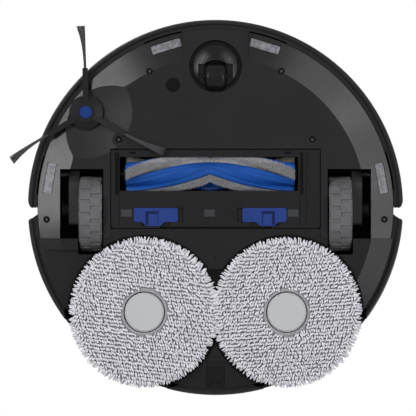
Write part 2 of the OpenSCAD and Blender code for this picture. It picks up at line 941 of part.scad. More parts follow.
// Flared bristle bundles that slope down to the floor
module side_brush_bristles() {
  color([0.27, 0.27, 0.29])
    side_spokes()
      intersection() {
        translate([0, 6, 0])
          rotate([90, 0, 0])
            linear_extrude(12)
              polygon([
                [holder_r, 6.6], [holder_r + 21, tip_gap], [side_r, tip_gap],
                [side_r, tip_gap + 0.7], [holder_r + 22, tip_gap + 0.8], [holder_r, 8.1]]);
        linear_extrude(20)
          polygon([
            [holder_r, -1.2], [side_r, -3.9], [side_r, 3.9], [holder_r, 1.2]]);
      }
}

module side_brush_motor() {
  z0 = side_ceiling + shell_t + piece_gap;
  color([0.5, 0.5, 0.52])
    difference() {
      union() {
        translate([0, 0, z0])
          linear_extrude(12)
            hull() {
              translate([side_x, side_y])
                circle(r = side_shaft_r + 3.2, $fn = 32);
              translate([side_x + side_motor_dx, side_y + side_motor_dy])
                circle(r = 13, $fn = 32);
            }
        disc(side_x + side_motor_dx, side_y + side_motor_dy, 12, z0 + 11, z0 + 32);
      }
      disc(side_x, side_y, side_shaft_r + run_fit, 0, tall);
    }
}

// Roller brush

module tunnel_profile(r) {
  translate([-roller_y, roller_z])
    circle(r = r);
  translate([-roller_y - r, 0])
    square([2 * r, roller_z]);
}

module brush_housing() {
  flange_top = pan_top + shell_t;
  color([0.12, 0.12, 0.13])
    difference() {
      union() {
        box(-open_x - flange_w, open_x + flange_w, open_y0 - flange_w,
            chamber_out - roller_y, pan_top, flange_top);
        intersection() {
          along_x(chamber_x0 - shell_t, chamber_x1 + shell_t)
            tunnel_profile(chamber_out);
          box(-body_r, body_r, -body_r, body_r, pan_top, tall);
        }
        box(-open_x + 1, open_x - 1, chamber_out - roller_y - 1, open_y1 - piece_gap,
            floor_plate_z, floor_plate_z + 2);
        box(work_x - duct_dx - duct_t, work_x + duct_dx + duct_t, -roller_y - duct_dy - duct_t,
            duct_dy + duct_t - roller_y, roller_z + chamber_r - 3, duct_top);
        for (s = [-1, 1])
          translate([work_x + s * lug_dx, 0, 0]) {
            x_rod(hinge_r, -lug_w / 2, lug_w / 2, hinge_y, hinge_z);
            box(-lug_w / 2, lug_w / 2, hinge_y - hinge_r, hinge_y + hinge_r, hinge_z, pan_top + 1);
          }
      }
      difference() {
        along_x(chamber_x0, chamber_x1)
          tunnel_profile(chamber_r);
        box(-body_r, body_r, -body_r, hinge_y + hinge_r, 0, pan_top);
      }
      box(work_x - duct_dx, work_x + duct_dx, -roller_y - duct_dy, duct_dy - roller_y,
          roller_z, tall);
      disc(side_x, side_y, side_recess_r + shell_t + piece_gap, 0, side_ceiling + shell_t);
      x_rod(shaft_r + 1, chamber_x1 - 1, chamber_x1 + shell_t + 1, -roller_y, roller_z);
      x_rod(bush_r + run_fit, chamber_x0 - shell_t - 1, chamber_x0 + 1, -roller_y, roller_z);
      box(chamber_x1 + shell_t, open_x, hinge_y + hinge_r + 2, chamber_out - roller_y + 1,
          pan_top - 1, flange_top + 1);
      for (s = [-1, 1])
        x_rod(hinge_pin_r + run_fit, work_x + s * lug_dx - lug_w, work_x + s * lug_dx + lug_w,
              hinge_y, hinge_z);
    }
}

module roller_bearing() {
  x0 = chamber_x0 - shell_t;
  color([0.15, 0.15, 0.16])
    difference() {
      union() {
        x_rod(bush_r, x0, chamber_x0 + 2, -roller_y, roller_z);
        x_rod(bush_r + 1.3, chamber_x0 + 0.8, chamber_x0 + 2, -roller_y, roller_z);
      }
      x_rod(shaft_r + run_fit, x0 - 1, chamber_x0 + 5, -roller_y, roller_z);
    }
}

gear_x0 = chamber_x1 + shell_t + piece_gap;
gear_x1 = gear_x0 + 12;
motor_y = roller_y + 36.8;
motor_z = roller_z + 13.5;

module brush_gearbox() {
  color([0.55, 0.55, 0.57])
    difference() {
      along_x(gear_x0, gear_x1)
        hull() {
          translate([-motor_y, motor_z])
            circle(r = 13, $fn = 32);
          translate([-roller_y, roller_z + 9])
            circle(r = 10, $fn = 32);
          translate([-roller_y, roller_z])
            circle(r = 4.2, $fn = 32);
        }
      x_rod(shaft_r + run_fit, gear_x0 - 1, gear_x1 + 1, -roller_y, roller_z);
    }
}

module brush_motor() {
  color([0.65, 0.65, 0.67]) {
    x_rod(12.5, gear_x0 - 30, gear_x0, -motor_y, motor_z);
    x_rod(4, gear_x0 - 33, gear_x0 - 29, -motor_y, motor_z);
  }
}

// Twisted strips from the middle to both ends, as a V with its point at the front.
// Each strip is given by its start angle, its width in degrees and its outer radius.
module chevron(inner, strips) {
  half = roller_len / 2;
  translate([work_x, -roller_y, roller_z])
    rotate([0, 90, 0])
      for (s = [0, 1])
        mirror([0, 0, s])
          linear_extrude(half, twist = -fin_twist, slices = 16, segments = 0, $fn = 0)
            for (i = [0:2])
              for (f = strips)
                rotate(120 * i + f[0])
                  polygon(concat(
                    arc(0, 0, f[2], f[2], 0, f[1], 3),
                    arc(0, 0, inner, inner, f[1], 0, 3)));
}

core_r = 10.2;
sleeve_r = 11;

module roller_core() {
  x0 = work_x - roller_len / 2;
  x1 = work_x + roller_len / 2;
  color([0.1, 0.2, 0.45]) {
    x_rod(core_r, x0, x1, -roller_y, roller_z);
    x_rod(shaft_r, chamber_x0 - 1, gear_x1 - 1, -roller_y, roller_z);
    x_rod(core_r - 2, x0 - 2, x1 + 1.5, -roller_y, roller_z);
  }
}

module roller_fins() {
  color([0.15, 0.32, 0.62]) {
    chevron(sleeve_r - 0.1, [[-20, 21, roller_r - 1.2], [34, 12, sleeve_r + 2]]);
    translate([work_x, -roller_y, roller_z])
      rotate([0, 90, 0])
        difference() {
          cylinder(r = sleeve_r, h = roller_len, center = true, $fn = 96);
          cylinder(r = core_r + 0.1, h = roller_len + 2, center = true, $fn = 96);
        }
  }
}

module roller_bristles() {
  color([0.5, 0.5, 0.52])
    chevron(sleeve_r + 0.2, [[3.5, 28, roller_r]]);
}

module brush_guard() {
  window_y0 = -roller_y - window_half;
  window_y1 = window_half - roller_y;
  color([0.17, 0.17, 0.18])
    difference() {
      union() {
        round_box(-guard_w / 2, guard_w / 2, hinge_y - 3, guard_rear, guard_z, guard_top, 2.5);
      }
      box(-guard_w, guard_w, -body_r, hinge_y, 0, tall);
      round_box(window_x0, window_x1, window_y0, window_y1, 0, tall, 1);
      box(window_x0 - 2, window_x1 + 2, window_y0 - 1.5, window_y1 + 3, bar_top, tall);
      for (s = [-1, 1])
        box(work_x + s * lug_dx - lug_w / 2 - 0.4, work_x + s * lug_dx + lug_w / 2 + 0.4,
            -body_r, hinge_y + hinge_r + 0.4, 0, tall);
      for (x = [window_x0 - 0.9, window_x1 + 1.2, window_x1 + 7])
        box(x, x + 0.8, hinge_y + 1, guard_rear - 2, 0, guard_z + 0.6);
      box(window_x0 - 4.5, window_x0 - 1, hinge_y + 1.2, -11.7, 0, guard_z + 0.8);
      box(window_x1 + 2.2, window_x1 + 4.6, hinge_y + 1.2, -11.7, 0, guard_z + 0.8);
      for (s = [-1, 1])
        translate([work_x, 0, 0])
          mirror([s < 0 ? 1 : 0, 0, 0])
            latch_space();
      for (x = pad_sites)
        box(x - 5.1, x + 5.1, 1.7, 8.6, 0, guard_z + 1);
      box(work_x - 47, work_x + 57.6, guard_rear - 1.2, guard_rear + 1, 0, tall);
    }
  color([0.17, 0.17, 0.18])
    difference() {
      x_rod(hinge_r, -guard_w / 2, guard_w / 2, hinge_y, hinge_z);
      for (s = [-1, 1])
        box(work_x + s * lug_dx - lug_w / 2 - 0.4, work_x + s * lug_dx + lug_w / 2 + 0.4,
            -body_r, hinge_y + hinge_r + 0.4, 0, tall);
    }
  color([0.17, 0.17, 0.18])
    for (s = [-1, 1])
      x_rod(hinge_pin_r, work_x + s * lug_dx - lug_w / 2 - 1, work_x + s * lug_dx + lug_w / 2 + 1,
            hinge_y, hinge_z);
}

pad_sites = [work_x - 78, work_x - 0.5, work_x + 77];

module guard_pads() {
  color([0.25, 0.25, 0.27])
    for (x = pad_sites)
      box(x - 5, x + 5, 1.8, 8.5, guard_z - 0.3, guard_z + 1);
}

neck_x0 = 38;
neck_x1 = 58;

// Pocket for a latch on the right of the middle, with room for its travel
module latch_space() {
  g = 0.25;
  box(latch_in - latch_travel - g, latch_out + g, latch_y0 - g, latch_y0 + latch_h + g,
      0, pocket_top);
  box(tab_in - latch_travel - g, tab_out + g, latch_y0 + latch_h - 1, tab_y1 + g, 0, pocket_top);
  box(neck_x0 - latch_travel - g, neck_x1 + g, 3.5 - g, 9.5 + g, 0, tall);
}

module latch() {
  z0 = guard_z + 0.3;
  color([0.22, 0.3, 0.58])
    translate([work_x, 0, 0])
      difference() {
        union() {
          round_box(latch_in, latch_out, latch_y0, latch_y0 + latch_h, z0, pocket_top - 0.2, 1.5);
          linear_extrude(pocket_top - 0.2)
            polygon([
              [tab_in, latch_y0 + latch_h - 1], [tab_in, latch_y0 + latch_h],
              [tab_in + 4, tab_y1], [tab_out - 4, tab_y1],
              [tab_out, latch_y0 + latch_h], [tab_out, latch_y0 + latch_h - 1]]);
          box(neck_x0, neck_x1, 3.5, 9.5, z0, keeper_top);
          box(neck_x0 - 3, neck_x1 + 3, 1, 12, keeper_z, keeper_top);
        }
        box(0, tall, -50, 50, -1, z0);
        round_box(tab_in + 5.5, tab_out - 3.5, 3.5, 16.2, 0, z0 + 1.6, 1);
      }
}

// Mop pads and their lift

module mop_pad() {
  color([0.72, 0.72, 0.74])
    translate([pad_x, pad_y, 0])
      rotate_extrude()
        polygon(concat(
          [[mop_cap_r + 0.8, 0.6], [mop_cap_r + 1.8, 0]],
          arc(pad_r - 4, 4, 4, 4, -90, 0, 5),
          arc(pad_r - 3, pad_t - 3, 3, 3, 0, 90, 4),
          [[mop_cap_r + 0.8, pad_t]]));
}

module mop_plate() {
  color([0.75, 0.76, 0.78]) {
    disc(pad_x, pad_y, mop_plate_r, plate_z, plate_top);
    translate([pad_x, pad_y, 0])
      rotate_extrude()
        polygon([
          [0, 1.8], [mop_cap_r - 1.5, 1.8], [mop_cap_r, 3], [mop_cap_r, plate_z + 1],
          [0, plate_z + 1]]);
    disc(pad_x, pad_y, mop_shaft_r, plate_top - 1, boss_top + 1);
    disc(pad_x, pad_y, boss_r - 1.5, boss_top + slide_gap, boss_top + 2);
  }
}

module mop_carriage() {
  color([0.3, 0.3, 0.32])
    difference() {
      union() {
        round_box(-pad_x - 14, pad_x + 14, pad_y - 15, post_y + 6, carriage_z,
                  carriage_z + carriage_t, 5);
        round_box(-9, 9, screw_y - 7, pad_y, carriage_z, carriage_z + carriage_t, 3);
        both_sides() {
          disc(pad_x, pad_y, boss_r, carriage_z, boss_top);
          disc(post_x, post_y, 6, carriage_z, carriage_z + 7);
        }
        round_box(boss_r + 2 - pad_x, pad_x - boss_r - 2, pad_y - 11, pad_y + 11,
                  carriage_z, gearbox_top, 4);
        disc(0, screw_y, 5, carriage_z, carriage_z + 7);
      }
      both_sides() {
        disc(pad_x, pad_y, mop_shaft_r + run_fit, 0, tall);
        disc(post_x, post_y, post_r + run_fit, 0, tall);
      }
      disc(0, screw_y, screw_r + run_fit, 0, tall);
    }
}

module mop_lift_motor() {
  color([0.6, 0.6, 0.62]) {
    disc(0, screw_y, screw_r, mop_ceiling_top + piece_gap, tank_z + 1);
    disc(0, screw_y, motor_r, tank_z, tank_top);
  }
}

module water_tank() {
  color([0.75, 0.8, 0.85])
    difference() {
      intersection() {
        round_box(-100, 100, tank_y0, body_r, tank_z, tank_top, 4);
        disc(0, 0, skirt_r0 - 2, 0, tall);
      }
      disc(70, tank_y0 + 20, 8, tank_top - 2, tall);
    }
}

// Inner parts

module battery() {
  color([0.2, 0.35, 0.3])
    for (y = [battery_y0, battery_y0 + battery_l + 0.2])
      round_box(battery_x0, battery_x1, y, y + battery_l, pan_top + piece_gap, battery_top, 3);
}

module circuit_boards() {
  color([0.1, 0.35, 0.2]) {
    box(-board_x, board_x, board_y0, board_y1, board_z, board_z + board_t);
    for (x = [-28, 2, 26])
      box(x, x + 13, -102, -88, board_z + board_t - 0.1, board_z + board_t + 2);
    box(-38, 34, -118, -112, board_z + board_t - 0.1, board_z + board_t + 6);
  }
  color([0.1, 0.35, 0.2])
    difference() {
      box(-24, 24, button_y - 1.5, button_y + 8.5, deck_z - 1.5, deck_z - 0.1);
      box(-2, 2, button_y - 2, button_y, 0, tall);
    }
}

module suction_fan() {
  x = bin_x0 + bin_w + fan_dx;
  color([0.35, 0.35, 0.37])
    difference() {
      union() {
        disc(x, 0, fan_dx - 6, fan_z0, tank_top);
        round_box(x - 5, x + 27, 5, 46, fan_z0 + 3, fan_z0 + 23, 2);
        x_rod(12, bin_x0 + bin_w + 0.5, x, fan_y, fan_z0 + 14);
      }
      x_rod(9, bin_x0 + bin_w - 1, x - 20, fan_y, fan_z0 + 14);
      box(x - 2, x + 24, 20, 50, fan_z0 + 5, fan_z0 + 21);
    }
}

module bumper_switches() {
  color([0.1, 0.1, 0.1])
    both_sides()
      rotate([0, 0, 270 + switch_turn]) {
        box(skirt_r1 + 0.05, skirt_r1 + 5, -6, 6, 40, 50);
        x_rod(1.5, skirt_r1 + 4, skirt_r1 + 7.5, 0, 45);
      }
}

module bumper_springs() {
  y0 = sqrt(pow(skirt_r1, 2) - pow(spring_x - 3, 2));
  y1 = sqrt(pow(body_r - shell_t, 2) - pow(spring_x + 4, 2));
  turns = 4;
  color("silver")
    both_sides()
      translate([spring_x, -y0 - 0.9, spring_z])
        rotate([90, 0, 0])
          rotate([0, 0, 180])
            coil(3, 0.45, (y1 - y0 - 2.5) / turns, turns);
}

module cliff_windows() {
  color([0.53, 0.53, 0.55])
    intersection() {
      at_cliffs()
        cliff_prism(-0.15);
      front_layer(0.15, 1.7);
    }
}

module carpet_sensor() {
  color([0.08, 0.08, 0.08]) {
    disc(sensor_x, sensor_y, sensor_r - 0.1, pan_z + 0.5, pan_top + 6);
    disc(sensor_x, sensor_y, sensor_r + 1.5, pan_top, pan_top + 1.5);
  }
}

module one_screw(x, y) {
  z = screw_z(x, y) + head_deep;
  difference() {
    union() {
      disc(x, y, head_r, z, z + head_t);
      disc(x, y, 1.4, z + head_t / 2, z + shell_t + 2);
    }
    box(x - 1.4, x + 1.4, y - 0.35, y + 0.35, 0, z + 0.6);
    box(x - 0.35, x + 0.35, y - 1.4, y + 1.4, 0, z + 0.6);
  }
}

module underside_screws() {
  color([0.15, 0.15, 0.16])
    both_sides()
      for (s = screw_sites)
        one_screw(s[0], s[1]);
}

// Top

turret_z0 = deck_top + piece_gap;
turret_top = body_h + turret_h;
slot_z0 = turret_z0 + 6;
slot_z1 = turret_top - 4.5;

module lidar_base() {
  color([0.14, 0.14, 0.15])
    translate([0, turret_y, 0]) {
      disc(0, 0, turret_r - 8, deck_top, deck_top + 2.5);
      disc(0, 0, 4, deck_top + 1, deck_top + 9);
      disc(24, -6, motor_r, deck_z - 12, deck_top + 1);
    }
}

module lidar_rotor() {
  z0 = deck_top + 2.5 + slide_gap;
  color([0.2, 0.2, 0.22])
    translate([0, turret_y, 0])
      difference() {
        union() {
          disc(0, 0, turret_r - 13, z0, z0 + 3);
          round_box(-22, 22, -14, 14, z0 + 2, slot_z1 - 0.5, 4);
        }
        disc(0, 0, 4 + run_fit, 0, deck_top + 9.5);
        box(-17, -5, -15, -8, z0 + 4, slot_z1 - 2);
        box(5, 17, -15, -8, z0 + 4, slot_z1 - 2);
      }
}

module lidar_cover() {
  wall = 2.4;
  color([0.13, 0.13, 0.14])
    translate([0, turret_y, 0]) {
      tube(0, 0, turret_r - wall, turret_r, deck_top, slot_z0);
      for (i = [0:5])
        intersection() {
          tube(0, 0, turret_r - wall, turret_r, slot_z0 - 1, slot_z1 + 1);
          rotate([0, 0, 60 * i + 30])
            box(turret_r - 5, turret_r + 1, -2, 2, 0, tall);
        }
      rotate_extrude()
        polygon(concat(
          [[0, slot_z1 + 1], [turret_r - wall, slot_z1 + 1], [turret_r - wall, slot_z1],
           [turret_r, slot_z1]],
          arc(turret_r - 3, turret_top - 3, 3, 3, 0, 90, 6),
          [[0, turret_top]]));
    }
}

module lidar_window() {
  color([0.1, 0.1, 0.12])
    tube(0, turret_y, turret_r - 4, turret_r - 2.6, slot_z0 - 3, slot_z1 + 0.9);
}

module top_cover() {
  z0 = deck_top + piece_gap;
  color([0.12, 0.12, 0.13])
    difference() {
      rotate_extrude()
        polygon([
          [0, z0], [cover_r, z0], [cover_r, body_h - 1], [cover_r - 0.4, body_h - 0.3],
          [cover_r - 1.2, body_h], [0, body_h]]);
      disc(0, turret_y, turret_r + 2, 0, tall);
    }
}

filter_y0 = -32;
filter_y1 = 12;
filter_z0 = bin_z() + 5;
filter_z1 = bin_z() + 27;

module dust_bin() {
  x1 = bin_x0 + bin_w;
  y1 = bin_y0 + bin_l;
  z0 = bin_z();
  color([0.25, 0.27, 0.3])
    difference() {
      union() {
        difference() {
          round_box(bin_x0, x1, bin_y0, y1, z0, deck_top, 3);
          round_box(bin_x0 + bin_t, x1 - bin_t, bin_y0 + bin_t, y1 - bin_t,
                    z0 + bin_t, deck_top - 6, 2);
        }
        box(work_x - duct_dx - duct_t, work_x + duct_dx + duct_t, -roller_y - duct_dy - duct_t,
            duct_dy + duct_t - roller_y, z0 + 1, z0 + 12);
      }
      box(work_x - duct_dx, work_x + duct_dx, -roller_y - duct_dy, duct_dy - roller_y,
          0, z0 + 13);
      box(x1 - bin_t - 1, x1 + 1, filter_y0, filter_y1, filter_z0, filter_z1);
      round_box(bin_x0 + 30, bin_x0 + 62, bin_y0 + 12, bin_y0 + 30, deck_top - 4, tall, 5);
    }
}

module bin_filter() {
  x1 = bin_x0 + bin_w;
  color([0.85, 0.86, 0.88])
    difference() {
      box(x1 - 8, x1 - 0.3, filter_y0 + 0.2, filter_y1 - 0.2, filter_z0 + 0.2, filter_z1 - 0.2);
      for (i = [0:6])
        box(x1 - 9, x1 - 5, filter_y0 + 4 + 6 * i, filter_y0 + 6 + 6 * i, 0, tall);
    }
}

module button() {
  foot_z = deck_z + button_travel + 0.4;
  color([0.3, 0.3, 0.32])
    translate([button_x, button_y, 0])
      rotate_extrude()
        polygon([
          [0, foot_z], [button_r + 1.2, foot_z], [button_r + 1.2, deck_top],
          [button_r, deck_top], [button_r, body_h + 0.1], [button_r - 0.5, body_h + 0.4],
          [0, body_h + 0.4]]);
}

front_underpan();
rear_underpan();
rear_shell();
upper_deck();
wheel_housings();
wheel_pivot_pins();
brush_housing();
roller_bearing();
brush_motor();
brush_gearbox();
side_brush_motor();
suction_fan();
battery();
circuit_boards();
bumper_switches();
bumper_springs();
cliff_windows();
carpet_sensor();
underside_screws();
charging_contacts();
dock_port();
water_tank();
mop_lift_motor();
lidar_base();
lidar_cover();
lidar_window();
bumper();
bumper_window();
left_side() wheel_arm();  // left_wheel_arm
wheel_arm();  // right_wheel_arm
left_side() wheel_spring();  // left_wheel_spring
wheel_spring();  // right_wheel_spring
left_side() wheel_hub();  // left_wheel_hub
left_side() tyre();  // left_tyre
wheel_hub();  // right_wheel_hub
tyre();  // right_tyre
caster_fork();
caster_axle();
caster_wheel();
side_brush_hub();
side_brush_cap();
side_brush_bristles();
roller_core();
roller_fins();
roller_bristles();
brush_guard();
guard_pads();
translate([2 * work_x, 0, 0]) left_side() latch();  // left_latch
latch();  // right_latch
mop_carriage();
left_side() mop_plate();  // left_mop_plate
mop_plate();  // right_mop_plate
left_side() mop_pad();  // left_mop_pad
mop_pad();  // right_mop_pad
lidar_rotor();
top_cover();
dust_bin();
bin_filter();
left_side() button();  // power_button
button();  // home_button
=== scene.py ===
import math

import bmesh
import bpy
import numpy as np
from mathutils import Matrix, Vector


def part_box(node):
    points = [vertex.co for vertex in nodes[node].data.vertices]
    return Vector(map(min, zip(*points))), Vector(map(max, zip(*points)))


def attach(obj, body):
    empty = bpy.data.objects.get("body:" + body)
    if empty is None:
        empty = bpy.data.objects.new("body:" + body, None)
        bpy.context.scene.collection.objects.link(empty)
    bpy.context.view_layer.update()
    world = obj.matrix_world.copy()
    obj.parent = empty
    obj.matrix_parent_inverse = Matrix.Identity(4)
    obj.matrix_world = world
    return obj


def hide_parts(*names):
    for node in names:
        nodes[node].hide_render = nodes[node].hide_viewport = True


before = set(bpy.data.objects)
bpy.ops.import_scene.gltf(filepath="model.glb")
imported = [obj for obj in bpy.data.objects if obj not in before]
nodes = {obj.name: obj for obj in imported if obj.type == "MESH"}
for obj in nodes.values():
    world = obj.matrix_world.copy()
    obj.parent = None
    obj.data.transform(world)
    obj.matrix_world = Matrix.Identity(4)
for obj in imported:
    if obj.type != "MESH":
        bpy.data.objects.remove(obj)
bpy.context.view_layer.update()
MM = 0.001

# Robot vacuum, seen from below: the front, with the bumper, is towards -Y and Z is up.
# The CAD nodes get materials and rounded edges. New pieces ride on the CAD's bodies, and
# stand in for the solids of the mop pads, the bristles and the roller's fins.


def centre(low, high):
    """The (x, y) middle of a box."""
    return (low[0] + high[0]) / 2, (low[1] + high[1]) / 2


def share(value):
    """The value, kept between 0 and 1."""
    return max(0.0, min(1.0, value))


def ease(value):
    """Smooth rise from 0 to 1."""
    t = share(value)
    return t * t * (3 - 2 * t)


# ---------------------------------------------------------------- materials

class Graph:
    """A material's node tree, with short calls to add and join nodes."""

    def __init__(self, name):
        self.material = bpy.data.materials.new(name)
        self.material.use_nodes = True
        self.tree = self.material.node_tree
        self.tree.nodes.clear()
        self.out = self.add("ShaderNodeOutputMaterial")
        self.shader = self.add("ShaderNodeBsdfPrincipled")
        self.join(self.shader, "BSDF", self.out, "Surface")
        self.coordinates = None

    def add(self, kind):
        return self.tree.nodes.new(kind)

    def join(self, a, output, b, socket):
        self.tree.links.new(a.outputs[output], b.inputs[socket])

    def place(self):
        """The node that gives object coordinates, made when first asked for."""
        if self.coordinates is None:
            self.coordinates = self.add("ShaderNodeTexCoord")
        return self.coordinates

    def noise(self, scale, detail=3.0, rough=0.5, stretch=None):
        node = self.add("ShaderNodeTexNoise")
        node.inputs["Scale"].default_value = scale
        node.inputs["Detail"].default_value = detail
        node.inputs["Roughness"].default_value = rough
        if stretch is None:
            self.join(self.place(), "Object", node, "Vector")
        else:
            mapping = self.add("ShaderNodeMapping")
            mapping.inputs["Scale"].default_value = stretch
            self.join(self.place(), "Object", mapping, "Vector")
            self.join(mapping, "Vector", node, "Vector")
        return node

    def ramp(self, source, stops):
        """Colours by the source's strength, from (position, colour) stops."""
        node = self.add("ShaderNodeValToRGB")
        ramp = node.color_ramp
        while len(ramp.elements) < len(stops):
            ramp.elements.new(0.5)
        for element, (at, color) in zip(ramp.elements, stops):
            element.position = at
            element.color = (*color, 1.0)
        self.join(source, "Fac", node, "Fac")
        return node

    def spread(self, source, low, high):
        node = self.add("ShaderNodeMapRange")
        node.inputs["To Min"].default_value = low
        node.inputs["To Max"].default_value = high
        self.join(source, "Fac", node, "Value")
        return node

    def bump(self, source, output, strength, distance):
        node = self.add("ShaderNodeBump")
        node.inputs["Strength"].default_value = strength
        node.inputs["Distance"].default_value = distance
        self.join(source, output, node, "Height")
        return node

    def surface(self, tint, gloss, bump):
        """Joins the colour, roughness and bump to the shader."""
        self.join(tint, "Color", self.shader, "Base Color")
        self.join(gloss, "Result", self.shader, "Roughness")
        self.join(bump, "Normal", self.shader, "Normal")

    def set(self, **values):
        for key, value in values.items():
            self.shader.inputs[key.replace("_", " ")].default_value = value


def shade(color, factor):
    return tuple(min(1.0, c * factor) for c in color)


def plastic(name, color, rough=0.42, specular=0.3, grain=0.15, grain_scale=2600.0, vary=0.1):
    """Moulded plastic: fine grain, slight clouds of colour and of gloss."""
    g = Graph(name)
    clouds = g.noise(22.0, detail=4.0)
    tint = g.ramp(clouds, [(0.3, shade(color, 1.0 - vary)), (0.7, shade(color, 1.0 + vary))])
    wear = g.noise(160.0, detail=5.0, rough=0.65)
    gloss = g.spread(wear, rough - 0.05, rough + 0.06)
    fine = g.noise(grain_scale, detail=2.0)
    g.surface(tint, gloss, g.bump(fine, "Fac", strength=grain, distance=0.2 * MM))
    g.set(IOR=1.46, Specular_IOR_Level=specular)
    return g.material


def metal(name, color, rough=0.3):
    """Brushed metal: fine lines across Z in its colour, gloss and bump."""
    g = Graph(name)
    lines = g.noise(700.0, detail=3.0, rough=0.6, stretch=(1.0, 1.0, 14.0))
    tint = g.ramp(lines, [(0.3, shade(color, 0.86)), (0.7, shade(color, 1.08))])
    gloss = g.spread(lines, rough - 0.06, rough + 0.08)
    g.surface(tint, gloss, g.bump(lines, "Fac", strength=0.12, distance=0.1 * MM))
    g.set(Metallic=1.0)
    return g.material


def rubber(name, color, rough=0.6, dust=1.35, specular=0.3):
    """Rubber with paler, dusty patches."""
    g = Graph(name)
    clouds = g.noise(90.0, detail=5.0, rough=0.6)
    tint = g.ramp(clouds, [
        (0.25, shade(color, 0.85)), (0.55, color), (0.85, shade(color, dust))])
    gloss = g.spread(clouds, rough - 0.08, rough + 0.1)
    fine = g.noise(1800.0)
    g.surface(tint, gloss, g.bump(fine, "Fac", strength=0.2, distance=0.2 * MM))
    g.set(Specular_IOR_Level=specular)
    return g.material


def yarn(name, color, dark=0.7, rough=0.9, fine_scale=1500.0, sheen=0.25):
    """Soft fibres: speckled colour, fuzzy bump and a little sheen."""
    g = Graph(name)
    speck = g.noise(420.0, detail=4.0, rough=0.7)
    tint = g.ramp(speck, [(0.25, shade(color, dark)), (0.5, color), (0.8, shade(color, 1.1))])
    fine = g.noise(fine_scale, rough=0.7)
    gloss = g.spread(fine, rough - 0.1, min(1.0, rough + 0.08))
    g.surface(tint, gloss, g.bump(fine, "Fac", strength=0.5, distance=0.4 * MM))
    g.set(Sheen_Weight=sheen, Sheen_Roughness=0.5, Specular_IOR_Level=0.15)
    return g.material


def frosted(name, color):
    """Moulded sensor window with a fine cell texture and clouds of colour."""
    g = Graph(name)
    cells = g.add("ShaderNodeTexVoronoi")
    cells.inputs["Scale"].default_value = 900.0
    g.join(g.place(), "Object", cells, "Vector")
    clouds = g.noise(300.0, detail=4.0)
    tint = g.ramp(clouds, [(0.38, shade(color, 0.72)), (0.62, shade(color, 1.3))])
    gloss = g.spread(clouds, 0.28, 0.42)
    g.surface(tint, gloss, g.bump(cells, "Distance", strength=0.25, distance=0.3 * MM))
    g.set(Specular_IOR_Level=0.15)
    return g.material


BLACK = plastic("body_black", (0.0132, 0.0132, 0.0142), rough=0.19, specular=0.17, grain=0.05)
BLACK_REAR = plastic("rear_black", (0.0122, 0.0122, 0.0132), rough=0.22, specular=0.13, grain=0.05)
BUMPER = plastic("bumper_grey", (0.0135, 0.0132, 0.0145), rough=0.38, specular=0.13)
INNER = plastic("inner_black", (0.007, 0.007, 0.008), rough=0.5, specular=0.12)
GUARD = plastic("guard_black", (0.0062, 0.0062, 0.0071), rough=0.46, specular=0.14, grain=0.25)
GREY = plastic("grey_grain", (0.03, 0.031, 0.036), rough=0.5, specular=0.2, grain=0.6,
               grain_scale=1500.0)
HUB_GREY = plastic("hub_grey", (0.03, 0.03, 0.032), rough=0.4, specular=0.2)
HOLDER = plastic("holder_grey", (0.008, 0.008, 0.009), rough=0.36, specular=0.14)
DISH = plastic("dish_grey", (0.0165, 0.0165, 0.0172), rough=0.42, specular=0.13)
ARM = plastic("arm_black", (0.031, 0.031, 0.032), rough=0.5, specular=0.12)
PORT = plastic("port_black", (0.0065, 0.0065, 0.0072), rough=0.42, specular=0.12)
# Painted shade: darker blue for the shaded walls of the latches' finger pockets
POCKET_SHADE_PAINT = plastic("latch_pocket_shade", (0.008, 0.017, 0.075), rough=0.5, specular=0.08)
LATCH = plastic("latch_blue", (0.017, 0.04, 0.19), rough=0.42, specular=0.14)
CAP_BLUE = plastic("cap_blue", (0.008, 0.03, 0.16), rough=0.42, specular=0.13)
CASTER = plastic("caster_black", (0.006, 0.006, 0.0065), rough=0.25, specular=0.16, grain=0.05)
GLOSS = plastic("window_black", (0.003, 0.003, 0.004), rough=0.1, specular=0.5, grain=0.0)
MOP_WHITE = plastic("mop_cap", (0.49, 0.493, 0.515), rough=0.45, specular=0.2, vary=0.03)
LENS = frosted("sensor_window", (0.185, 0.182, 0.198))
SENSOR = plastic("sensor_black", (0.0025, 0.0025, 0.003), rough=0.45, specular=0.07)
TYRE = rubber("tyre_grey", (0.126, 0.126, 0.13), rough=0.72, specular=0.15)
STEEL = metal("steel", (0.5, 0.5, 0.51))
SPRING = metal("dark_spring", (0.06, 0.06, 0.062), rough=0.4)
CONTACT = metal("contact_metal", (0.72, 0.68, 0.6), rough=0.22)
MOTOR = metal("motor_can", (0.36, 0.36, 0.37), rough=0.38)
SOCKET = metal("worn_screw", (0.05, 0.05, 0.051), rough=0.5)
SCREW = plastic("screw_black", (0.002, 0.002, 0.0022), rough=0.5, specular=0.05)
BOARD = plastic("board_green", (0.008, 0.06, 0.02), rough=0.35, specular=0.5, vary=0.25)
BATTERY = plastic("battery_wrap", (0.012, 0.03, 0.07), rough=0.3, specular=0.4)
TANK = plastic("tank_smoke", (0.16, 0.18, 0.2), rough=0.2, specular=0.5, grain=0.05)
BIN = plastic("bin_smoke", (0.03, 0.033, 0.037), rough=0.22, specular=0.4, grain=0.05)
FILTER = yarn("filter_paper", (0.62, 0.62, 0.58), dark=0.85)
ROLLER_BLUE = rubber("roller_blue", (0.0095, 0.07, 0.31), rough=0.34, dust=1.12, specular=0.14)
ROLLER_TAN = yarn("roller_backing", (0.4, 0.37, 0.3), dark=0.7, sheen=0.1)
ROLLER_ROOT = yarn("roller_roots", (0.26, 0.26, 0.265), dark=0.6, sheen=0.1)
ROLLER_GREY = yarn("roller_bristle", (0.45, 0.448, 0.465), dark=0.52, sheen=0.15)
FIBRE = yarn("side_bristle", (0.055, 0.055, 0.06), dark=0.6, rough=0.6, sheen=0.1)
CHENILLE = yarn("mop_chenille", (0.745, 0.745, 0.782), dark=0.76, sheen=0.2)
